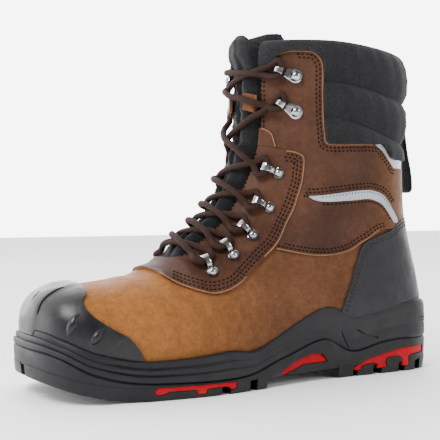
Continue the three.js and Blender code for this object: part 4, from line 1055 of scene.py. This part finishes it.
def rubber(name, dark, light, roughness=0.55, shine=0.28):
    """Moulded rubber: nearly even colour, faint cloudy sheen, a little dust and pitting."""
    material, shader = new_finish(name, roughness)
    colour = shades(material, noise(material, 28.0, 5.0), ((0.35, dark), (0.68, light)))
    dust = shades(material, noise(material, 75.0, 8.0, distortion=0.8), ((0.58, (0, 0, 0)), (0.78, (0.2, 0.2, 0.2))))
    colour = blended(material, dust, colour, tuple(min(1, c * 2.2 + 0.02) for c in light))
    material.node_tree.links.new(colour, shader.inputs["Base Color"])
    rough = add_node(material, "ShaderNodeMapRange",
                     {"Value": noise(material, 60.0, 5.0), "From Min": 0.3, "From Max": 0.7,
                      "To Min": roughness - 0.10, "To Max": roughness + 0.10}).outputs["Result"]
    material.node_tree.links.new(rough, shader.inputs["Roughness"])
    shader.inputs["Specular IOR Level"].default_value = shine
    raised(material, shader, (noise(material, 900.0, 3.0), 0.15, 0.15), (noise(material, 30.0, 2.0), 0.15, 1.0))
    return material


def side_band(name, outer, inner, low=-12.0, high=70.0):
    """A band round the sole's side between two insets, to cut or fill relief with."""
    made = loft(name, [sole_ring(outer, lambda along: low), sole_ring(outer, lambda along: high)])
    return combine(made, loft("core", [sole_ring(inner, lambda along: low - 2),
                                       sole_ring(inner, lambda along: high + 2)]), "DIFFERENCE")


def x_z(points):
    """Side view points in mm as (along, level)."""
    return [(x_to_along(x), z / INSTEP_HEIGHT) for x, z in points]


# Angular grooves at the waist, 1.3 mm deep, and fine level ribs up the heel's back.
relief = []
for line, wide in ((((-57, 41), (-56, 33), (-49, 22)), 1.6), (((-42, 34), (-33, 29.5), (-22, 27)), 1.6)):
    upper_side = [(x, z + wide / 2) for x, z in line]
    relief.append(side_pattern("groove", x_z(upper_side + [(x, z - wide / 2) for x, z in reversed(line)]), steps=1))
for i in range(9):
    z = 28.5 + i * 2.3
    reach = 27 - 7 * math.sin(i / 8 * math.pi)
    relief.append(side_pattern("heel_rib", x_z(((reach, z + 1.2), (60, z), (60, z + 0.8), (reach, z + 1.6))), steps=1))
cutter = relief[0]
for other in relief[1:]:
    combine(cutter, other, "UNION")
band_room = side_band("relief_band", -3, 0.85)
combine(cutter, band_room, "INTERSECT")
combine(midsole, cutter, "DIFFERENCE")
combine(midsole, last_form("leather_room", GAP), "DIFFERENCE")
whole(midsole)
black_rubber = rubber("black_moulded_rubber", (0.0052, 0.0052, 0.0062), (0.0088, 0.0088, 0.0102))
dress(midsole, "rubber", black_rubber)
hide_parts("midsole")

# Outsole. Black rubber tread, 7 mm deep: slanted blocks round the edge, six-sided blocks down
# the middle, and pockets in its side for the red inlays.
LUG_DEPTH = 7.0


def ground_at(along):
    return spring_at(along) * 1.1


def tread_ring(inset, lift):
    return sole_ring(inset, lambda along: ground_at(along) + lift)


outsole = loft("outsole", [
    sole_ring(2 - GAP, lambda along: min(wave_at(along), floor_at(along) - 5) - GAP),
    sole_ring(1.4 - GAP, lambda along: wave_at(along) - GAP, 2.2 - 0.7 + 2 * GAP),
    sole_ring(0.4, lambda along: wave_at(along) - GAP - 0.4, 2.2 + 2 * GAP),
    sole_ring(0, lambda along: wave_at(along) - GAP - 1.0, 2.2 + 2 * GAP),
    tread_ring(0.5, LUG_DEPTH + 1.2), tread_ring(1.2, LUG_DEPTH + 0.3), tread_ring(3, LUG_DEPTH)])


def tread_block(name, corners):
    """One block of the tread, drawn from above and moulded with round edges."""
    bpy.ops.object.select_all(action="DESELECT")
    count = len(corners)
    flat = [Vector((x, y, z)) * MM for z in (-9, 40) for x, y in corners]
    faces = [tuple(range(count)), tuple(range(count, 2 * count))]
    faces += [(i, (i + 1) % count, count + (i + 1) % count, count + i) for i in range(count)]
    made = new_piece(name, flat, faces)
    pick(made)
    rounding = made.modifiers.new("round", "BEVEL")
    rounding.width = 1.3 * MM
    rounding.segments = 3
    bpy.ops.object.modifier_apply(modifier="round")
    return made


# Edge blocks: from and to, shares of the sole's length, how far they slant and reach inwards.
LUGS = ((-0.030, 0.053, 0.015, 0.085), (0.072, 0.106, 0.015, 0.170), (0.125, 0.175, 0.015, 0.170),
        (0.200, 0.244, 0.015, 0.170), (0.269, 0.309, 0.000, 0.060), (0.503, 0.531, 0.020, 0.120),
        (0.547, 0.597, 0.025, 0.160), (0.619, 0.669, 0.025, 0.160), (0.694, 0.766, 0.025, 0.160),
        (0.791, 0.869, 0.025, 0.160), (0.891, 0.950, 0.015, 0.110), (0.969, 1.050, 0.000, 0.040),
        (0.680, 0.766, 0.000, 0.030), (0.780, 1.050, 0.000, 0.030))
blocks = None
for start, stop, slant, into in LUGS:
    for side in (-1, 1):
        block = tread_block("tread_block", [
            (along_to_x(start), side * 120), (along_to_x(start + slant), side * BALL_WIDTH * into),
            (along_to_x(stop + slant), side * BALL_WIDTH * into), (along_to_x(stop), side * 120)])
        blocks = combine(blocks, block, "UNION") if blocks else block
for middle in (0.131, 0.215, 0.560, 0.645, 0.735, 0.835, 0.915):
    wide = 0.105 * BALL_WIDTH
    fore, aft = along_to_x(middle + 0.032), along_to_x(middle - 0.032)
    blocks = combine(blocks, tread_block("centre_block", [
        (aft, -wide / 2), (aft, wide / 2), (along_to_x(middle), wide), (fore, wide / 2), (fore, -wide / 2),
        (along_to_x(middle), -wide)]), "UNION")
tread = loft("tread", [tread_ring(2.4, 0), tread_ring(1.5, 0.35), tread_ring(1.0, 1.2),
                       tread_ring(0.2, LUG_DEPTH + 1.6)])
combine(tread, blocks, "INTERSECT")
combine(outsole, tread, "UNION")
INLAYS = {
    "fore": ((0.776, 0.066), (0.604, 0.062), (0.599, 0.058), (0.599, 0.030), (0.612, 0.026), (0.616, 0.038),
             (0.622, 0.043), (0.664, 0.043), (0.671, 0.038), (0.673, 0.020), (0.690, 0.020), (0.692, 0.038),
             (0.698, 0.043), (0.752, 0.043), (0.762, 0.034), (0.776, 0.030), (0.783, 0.040), (0.783, 0.058)),
    "arch": ((0.478, 0.069), (0.444, 0.108), (0.409, 0.138), (0.384, 0.154), (0.359, 0.146), (0.344, 0.108),
             (0.347, 0.100), (0.409, 0.100), (0.438, 0.077), (0.469, 0.060)),
    "heel": ((0.269, 0.046), (0.225, 0.092), (0.162, 0.123), (0.122, 0.138), (0.050, 0.138), (0.050, 0.098),
             (0.096, 0.096), (0.106, 0.084), (0.106, 0.034), (0.125, 0.034), (0.125, 0.078), (0.134, 0.092),
             (0.166, 0.092), (0.175, 0.080), (0.175, 0.034), (0.200, 0.034), (0.200, 0.058), (0.207, 0.066),
             (0.238, 0.060), (0.246, 0.050), (0.247, 0.034), (0.262, 0.034)),
}
pockets = None
for outline in INLAYS.values():
    pocket = side_pattern("pocket", outline, grow=GAP, steps=1)
    pockets = combine(pockets, pocket, "UNION") if pockets else pocket
combine(pockets, side_band("pocket_band", -4, 5.5), "INTERSECT")
combine(outsole, pockets, "DIFFERENCE")
whole(outsole)
dress(outsole, "rubber", black_rubber)
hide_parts("outsole")

# Red inlays. Softer red rubber let into pockets of the tread's side at the ball, the arch and
# the heel, with feet that reach down between the blocks.
red_rubber = rubber("red_rubber", (0.29, 0.0008, 0.006), (0.42, 0.0015, 0.010), 0.6, 0.12)
for name, outline in INLAYS.items():
    for side, place in ((-1, "lateral"), (1, "medial")):
        inlay = side_band("inlay", 0.8, 5.2, -7, 25)
        combine(inlay, side_pattern("inlay_pattern", outline, side, steps=1), "INTERSECT")
        combine(inlay, rubber_cup("inlay_room", GAP), "DIFFERENCE")
        whole(inlay)
        inlay.name = f"red_inlay_{name}_{place}"
        inlay_round = inlay.modifiers.new("round", "BEVEL")
        inlay_round.width = 0.45 * MM
        inlay_round.segments = 2
        inlay_round.angle_limit = math.radians(50)
        pick(inlay)
        bpy.ops.object.modifier_apply(modifier="round")
        dress(inlay, "red_rubber", red_rubber)
        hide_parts(f"red_{name}_{place}")

# Lace hooks. Bright steel: a plate with a large domed rivet, and at its throat end a tunnel on
# the five lower rows or an open hook on the two upper ones. Each kind is made once and copied.
def last_point(place, turn, side, offset):
    section = last_section(place, offset)
    width = math.sin(turn) ** (2 / section["crown"])
    return section_point(section, section["widest"] * (1 - math.cos(turn) ** (2 / section["crown"])), side, width)


def hook_seat(place, turn, side, offset, lean):
    """Where a hook sits: x points to the throat and z out of the leather."""
    spot = last_point(place, turn, side, offset)
    to_throat = (last_point(place + lean, turn - 0.1, side, offset)
                 - last_point(place - lean, turn + 0.1, side, offset)).normalized()
    across = last_point(place + 0.3, turn, side, offset) - spot
    out = to_throat.cross(across).normalized()
    if out.y * side < 0:
        out.negate()
    third = out.cross(to_throat).normalized()
    seat = Matrix((third.cross(out), third, out)).transposed().to_4x4()
    seat.translation = spot
    return seat


def bent_strip(name, line, wide, thick, taper=None):
    """A strip of steel bent along a side view line of (x, z) in mm, with round edges."""
    line = drawn_through(line, 5)
    bpy.ops.object.select_all(action="DESELECT")
    bpy.ops.mesh.primitive_grid_add(x_subdivisions=len(line) - 1, y_subdivisions=4, size=1)
    made = bpy.context.object
    made.name = name
    for vert in made.data.vertices:
        x, z = line[round((vert.co.x + 0.5) * (len(line) - 1))]
        vert.co = Vector((x, vert.co.y * (taper(x) if taper else wide), z))
    made.data.transform(Matrix.Scale(MM, 4))
    wall = made.modifiers.new("wall", "SOLIDIFY")
    wall.thickness = thick * MM
    wall.offset = 0
    edge = made.modifiers.new("edge", "BEVEL")
    edge.width = 0.35 * thick * MM
    edge.segments = 2
    edge.angle_limit = math.radians(50)
    pick(made)
    for step in ("wall", "edge"):
        bpy.ops.object.modifier_apply(modifier=step)
    return made


def rivet(radius, rise):
    bpy.ops.object.select_all(action="DESELECT")
    bpy.ops.mesh.primitive_uv_sphere_add(segments=24, ring_count=12, radius=1)
    made = bpy.context.object
    for vert in made.data.vertices:
        vert.co = Vector((vert.co.x * radius - 4.25, vert.co.y * radius, max(vert.co.z, -0.05) * rise)) * MM
    return made


def round_end(x, radius):
    """Width of a plate with a round end about the rivet's middle."""
    return 2 * math.sqrt(max(radius ** 2 - (x + 4.25) ** 2, 0.8))


ring_line = [(-7.9, 0.5), (-7.6, 0.5), (-6.8, 0.5), (-4, 0.5), (0, 0.5), (6.5, 0.5), (8.0, 0.9), (8.5, 2.2), (7.6, 4.6), (5.2, 5.9), (2.4, 5.6),
             (-0.2, 4.0), (-0.9, 1.9), (-0.2, 1.15)]
hook_line = [(-8.9, 0.7), (-8.6, 0.7), (-7.6, 0.7), (-4, 0.7), (2, 0.7), (6.5, 0.7), (9.3, 1.6), (10.5, 3.6), (10.1, 5.7), (8.4, 7.0), (4.6, 7.2)]
lace_ring = bent_strip("lace_ring", ring_line, 5.5, 1.1,
                       lambda x: round_end(x, 3.9) if x < -2 else 3.4 + 2.2 * ramp(x, 2, 7))
combine(lace_ring, rivet(3.2, 3.0), "UNION")
speed_hook = bent_strip("speed_hook", hook_line, 6.5, 1.3,
                        lambda x: round_end(x, 4.9) if x < -1.5 else 8.0 - 4.6 * ramp(x, -1.5, 8))
combine(speed_hook, rivet(3.9, 3.2), "UNION")
FITTINGS = ((15.72, 0.77, 0.0, 1, 1.5, 1), (13.70, 0.80, 0.0, 1, 1.5, 2), (8.50, 0.64, -0.25, 0, 2.2, 0),
            (6.65, 0.70, -0.15, 0, 2.2, 2), (5.52, 0.70, -0.08, 0, 2.2, 2), (4.60, 0.70, -0.05, 0, 2.2, 2),
            (3.72, 0.71, -0.03, 0, 2.2, 2))
steel, steel_shader = new_finish("bright_steel", 0.12, 1.0)
# Painted reflections: the steel's colour is blotched from dark to light grey, as mirrored surroundings would show.
steel.node_tree.links.new(shades(steel, noise(steel, 160.0, 2.0), ((0.35, (0.20, 0.20, 0.21)), (0.65, (0.50, 0.50, 0.51)))),
                          steel_shader.inputs["Base Color"])
raised(steel, steel_shader, (noise(steel, 300.0, 4.0), 0.08, 0.2))
SEATS = {}
for row, (place, turn, lean, is_open, under, lift) in enumerate(FITTINGS, 1):
    for side, name in ((-1, "lateral"), (1, "medial")):
        seat = hook_seat(place, turn, side, GAP + under + lift * GAP, lean)
        SEATS[row, side] = seat
        node = f"{'speed_hook' if is_open else 'lace_ring'}_{row}_{name}"
        fitting = twin(speed_hook if is_open else lace_ring, f"steel_{node}")
        metre_seat = seat.copy()
        metre_seat.translation = seat.translation * MM
        fitting.data.transform(metre_seat)
        dress(fitting, "steel_fitting", steel)
        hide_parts(node)
bpy.data.objects.remove(lace_ring)
bpy.data.objects.remove(speed_hook)

# Laces. One round brown lace, 4.5 mm, braided over a core. It runs through the tunnels and round
# the hooks and crosses over the tongue between them; its ends are tucked in at the top.
LACE_RADIUS = 2.25


def lace_strand(name, points):
    line = [Vector(point) for point in drawn_through([tuple(point) for point in points], 7)]
    return swept(name, line, [LACE_RADIUS] * len(line))


def seat_point(row, side, x, y, z):
    return SEATS[row, side] @ Vector((x, y, z))


def end_points(row, side, up):
    """How the lace leaves a fitting: from its middle, out of it, and towards the throat."""
    if FITTINGS[row - 1][3]:
        return [seat_point(row, side, 5.6, 0, 4.0), seat_point(row, side, 6.6, 3.4 * up, 3.9),
                seat_point(row, side, 10.5, 6.0 * up, 3.6)]
    return [seat_point(row, side, 3.8, 0, 3.3), seat_point(row, side, 4.6, 3.2 * up, 3.3),
            seat_point(row, side, 8.2, 6.4 * up, 3.5)]


def over_tongue(first, last, hump, steps=7):
    """Points from one side of the throat to the other, resting on the tongue."""
    points = []
    start, stop = first[-1], last[-1]
    for i in range(1, steps):
        t = i / steps
        flat = start.lerp(stop, t)
        hit = tongue_skin.find_nearest(flat * MM)
        near_leather = last_skin.find_nearest(flat * MM)
        away = hit[0] / MM + hit[1] * (LACE_RADIUS + 0.5)
        rest = near_leather[0] / MM + near_leather[1] * (5 + LACE_RADIUS + 0.7)
        middle = math.sin(t * math.pi)
        point = flat.lerp(rest, min(1, middle * 1.6))
        points.append(point + near_leather[1] * hump * middle ** 2)
    return points


tongue_skin = BVHTree.FromObject(tongue, bpy.context.evaluated_depsgraph_get())
lace_cord, lace_shader = new_finish("brown_braided_lace", 0.8)
lace_map = add_node(lace_cord, "ShaderNodeUVMap", uv_map="length_map").outputs["UV"]
braid = []
for turn in (0.9, -0.9):
    spun = add_node(lace_cord, "ShaderNodeMapping", {"Vector": lace_map, "Rotation": (0, 0, turn),
                                                    "Scale": (3.0, 4.0, 1.0)}).outputs["Vector"]
    braid.append(add_node(lace_cord, "ShaderNodeTexWave", {"Vector": spun, "Scale": 1.2, "Distortion": 0.3},
                          bands_direction="X").outputs["Fac"])
plait = add_node(lace_cord, "ShaderNodeMath", {0: braid[0], 1: braid[1]}, operation="MAXIMUM").outputs[0]
# The brown is the lace's own; it is drawn darker where the braid dips between its strands, as painted shade.
lace_colour_and_shade = shades(lace_cord, plait, ((0.35, (0.006, 0.0025, 0.0018)), (0.9, (0.036, 0.0155, 0.011))))
lace_cord.node_tree.links.new(lace_colour_and_shade, lace_shader.inputs["Base Color"])
raised(lace_cord, lace_shader, (plait, 0.7, 0.4))
lace_shader.inputs["Specular IOR Level"].default_value = 0.15


def join(pieces, name):
    pick(*pieces)
    bpy.ops.object.join()
    pieces[0].name = name
    return pieces[0]


def level_strand(name, row, up, hump):
    first, last = end_points(row, -1, up), end_points(row, 1, up)
    return lace_strand(name, first + over_tongue(first, last, hump) + last[::-1])


bottom_bar = level_strand("lace_bottom_bar", 7, -1, 0.0)
dress(bottom_bar, "lace_cord", lace_cord)
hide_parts("lace_bottom_bar")
for row in range(7, 1, -1):
    strands = []
    for side in (-1, 1):
        first, last = end_points(row, side, 1), end_points(row - 1, -side, -1)
        points = first + over_tongue(first, last, 2.4 if side == -1 else -1.8, 8) + last[::-1]
        strands.append(lace_strand("strand", points))
    crossing = join(strands, f"lace_crossing_{8 - row}")
    dress(crossing, "lace_cord", lace_cord)
    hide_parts(f"lace_crossing_{8 - row}")
top_bar = level_strand("lace_top_bar", 1, 1, 0.0)
dress(top_bar, "lace_cord", lace_cord)
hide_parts("lace_top_bar")

# Seams. Waxed dark thread, two needles at a time, about four stitches to the centimetre, along
# the edges of the eyestay, the quarter, the counter and the facings and beside the strips.
STITCH_STEP = 3.1


def edge_line(outline, first, last, inset):
    """Part of a pattern's smooth outline, from row to row, drawn inwards by inset mm."""
    flat = [Vector((along_to_x(a), height_at(v))) for a, v in drawn_through(outline, 4, True)]
    turn = 1 if sum(flat[i - 1].cross(p) for i, p in enumerate(flat)) > 0 else -1
    line = []
    for i in range(first * 4, last * 4 + 1):
        way = (flat[(i + 1) % len(flat)] - flat[i - 1]).normalized()
        line.append(flat[i] + Vector((-way.y, way.x)) * turn * inset)
    return line


def laid_on(skin, line, side):
    """A side view line laid on a piece from that side, as points and normals."""
    laid = []
    for point in line:
        hit, normal, *_ = skin.ray_cast(Vector((point.x, side * 150, point.y)) * MM, Vector((0, -side, 0)))
        if hit and hit.y * side > 0:
            laid.append((hit / MM, normal))
    return laid


def facing_line(skin, first, last, wide, side):
    """A line up a facing, wide mm from the throat's edge."""
    laid = []
    for i in range(81):
        place = first + (last - first) * i / 80
        spot = beside_crest(place, 6, side, throat_half(place) + wide)
        hit, normal, *_ = skin.find_nearest(spot * MM)
        laid.append((hit / MM, normal))
    return laid


def sewn(name, runs, long=2.1, wide=1.08, high=0.45, step=STITCH_STEP):
    """All stitches of a seam as one mesh: each is a small six-sided bead along the run."""
    verts, faces = [], []
    for run in runs:
        travelled, due = 0.0, step / 2
        for (start, out), (stop, _) in zip(run, run[1:]):
            span = (stop - start).length
            if span > 12 or span < 1e-6:
                continue
            while due <= travelled + span:
                centre = start.lerp(stop, (due - travelled) / span) + out * 0.05
                way = (stop - start) / span
                across = out.cross(way).normalized()
                base = len(verts)
                for end in (-1, 1):
                    verts.append(centre + way * end * long / 2 - out * 0.1)
                    for j in range(6):
                        turn = j / 6 * 2 * math.pi
                        verts.append(centre + way * end * long * 0.3 + across * math.cos(turn) * wide / 2
                                     + out * math.sin(turn) * high)
                for j in range(6):
                    k = (j + 1) % 6
                    faces += [(base, base + 1 + j, base + 1 + k), (base + 7, base + 8 + k, base + 8 + j),
                              (base + 1 + j, base + 8 + j, base + 8 + k, base + 1 + k)]
                due += step
            travelled += span
    return new_piece(name, [vert * MM for vert in verts], faces)


def skin_of(piece):
    return BVHTree.FromObject(piece, bpy.context.evaluated_depsgraph_get())


brown_runs, black_runs, pinhole_runs = [], [], []
eyestay_skin, quarter_skin, counter_skin = skin_of(eyestay), skin_of(quarter), skin_of(counter)
for side in (-1, 1):
    for inset in (2.4, 4.7, 7.0):
        brown_runs.append(laid_on(eyestay_skin, edge_line(EYESTAY, 2, 16, inset), side))
    for inset in (2.4, 4.7):
        brown_runs.append(laid_on(quarter_skin, edge_line(QUARTER, 1, 7, inset), side))
        brown_runs.append(laid_on(quarter_skin, edge_line(QUARTER, 13, 27, inset), side))
        brown_runs.append(laid_on(quarter_skin, edge_line(STRIP, 0, 5, -inset), side))
        black_runs.append(laid_on(counter_skin, edge_line(COUNTER, 1, 11, inset), side))
    brown_runs.append(laid_on(quarter_skin, edge_line(STRIP, 8, 13, -1.8), side))
    brown_runs.append(facing_line(eyestay_skin, 3.3, 8.9, 2.4, side))
    for wide in (2.4, 4.6):
        brown_runs.append(facing_line(quarter_skin, 9.6, 17.6, wide, side))
thread, thread_shader = new_finish("dark_waxed_thread", 0.9)
thread.node_tree.links.new(shades(thread, noise(thread, 700.0, 2.0), ((0.3, (0.007, 0.0028, 0.0018)), (0.7, (0.020, 0.0085, 0.0055)))),
                           thread_shader.inputs["Base Color"])
thread_shader.inputs["Specular IOR Level"].default_value = 0.05
raised(thread, thread_shader, (noise(thread, 2500.0, 2.0), 0.3, 0.1))
# Black thread for the counter's seams, also used as the painted shade of the strips' pinholes.
black_thread_and_hole_shade, black_thread_and_hole_shade_shader = new_finish("black_waxed_thread_and_hole_shade", 0.8)
black_thread_and_hole_shade.node_tree.links.new(
    shades(black_thread_and_hole_shade, noise(black_thread_and_hole_shade, 700.0, 2.0), ((0.3, (0.002, 0.002, 0.002)), (0.7, (0.007, 0.007, 0.008)))),
    black_thread_and_hole_shade_shader.inputs["Base Color"])
raised(black_thread_and_hole_shade, black_thread_and_hole_shade_shader, (noise(black_thread_and_hole_shade, 2500.0, 2.0), 0.3, 0.1))
for name, runs, slot, finish in (("brown_seams", brown_runs, "lace_cord", thread),
                                 ("counter_seams", black_runs, "textile", black_thread_and_hole_shade)):
    seams = sewn(name, runs)
    seams.data.materials.append(finish)
    for face in seams.data.polygons:
        face.use_smooth = True
    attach(seams, "root")

# Pinholes. A row of needle holes along the middle of each strip, drawn as small raised dots in the black thread's
# finish: their dark is painted shade of the holes.
for strip_skin, side in zip(strip_skins, (-1, 1)):
    pinhole_runs.append(laid_on(strip_skin, edge_line(STRIP, 1, 5, 1.5), side))
pinholes = sewn("strip_pinholes", pinhole_runs, 1.2, 1.0, 0.14, 2.6)
pinholes.data.materials.append(black_thread_and_hole_shade)
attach(pinholes, "root")

# Facing tabs. A rounded patch of the brown leather over each facing's foot, sewn down with the eyestay,
# and a smaller tan one beside the tongue that ties its gusset to the facing.
TAB = ((0.520, 1.452), (0.480, 1.446), (0.464, 1.424), (0.456, 1.385), (0.452, 1.300), (0.460, 1.270),
       (0.520, 1.270))
on_quarter = last_form("on_quarter", GAP + 1.55)
facing_tab = last_form("facing_tab", GAP + 2.7)
combine(facing_tab, side_pattern("tab_pattern", TAB), "INTERSECT")
combine(facing_tab, on_quarter, "DIFFERENCE")
combine(facing_tab, side_pattern("by_eyestay", EYESTAY, grow=0.3), "DIFFERENCE")
combine(facing_tab, throat_slot("tab_throat", 0.4, 14, 16), "DIFFERENCE")
pale_edge = raw_edge((0.22, 0.095, 0.038), "pale_raw_edge")
dress(facing_tab, "brown_leather", brown_leather, pale_edge)
gussets = []
for side in (-1, 1):
    rings = []
    for i in range(13):
        place = 12.25 + 1.35 * i / 12
        half = throat_half(place)
        rings.append([beside_crest(place, 5 + lift, side, half - wide) for wide, lift in
                      ((0.6, -0.8), (0.6, 1.2), (4, 2.2), (9.0, 2.6), (9.0, 0.2), (4, 0.0))])
    gussets.append(loft("gusset_patch", rings))
tab_leather = hide("tan_tab_leather", (0.075, 0.026, 0.011), (0.12, 0.046, 0.02), (0.17, 0.07, 0.03),
                   (0.24, 0.12, 0.06))
gusset = join(gussets, "gusset_patches")
dress(gusset, "brown_leather", tab_leather, pale_edge)

# Cut edges. The leather is left raw where a panel ends, and its pale edge stands a little proud
# of the panel under it as a thin round line.
edge_runs = []
for side in (-1, 1):
    for skin, outline, first, last in ((eyestay_skin, EYESTAY, 1, 17), (quarter_skin, QUARTER, 1, 7),
                                       (quarter_skin, QUARTER, 13, 31), (skin_of(facing_tab), TAB, 0, 5)):
        run = laid_on(skin, edge_line(outline, first, last, 0.35), side)
        piece = []
        for spot, out in run + [(Vector((999, 0, 0)), Vector())]:
            if piece and (spot - piece[-1]).length > 6:
                if len(piece) > 3:
                    edge_runs.append(piece)
                piece = []
            piece.append(spot - out * 0.25)
edges = [swept("raw_edge", piece, [0.52] * len(piece), 8) for piece in edge_runs]
raw_edges = join(edges, "raw_leather_edges")
raw_edges.data.materials.append(pale_edge)
for face in raw_edges.data.polygons:
    face.use_smooth = True
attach(raw_edges, "root")

bpy.data.objects.remove(last_plain)
bpy.data.objects.remove(clear_of_last)
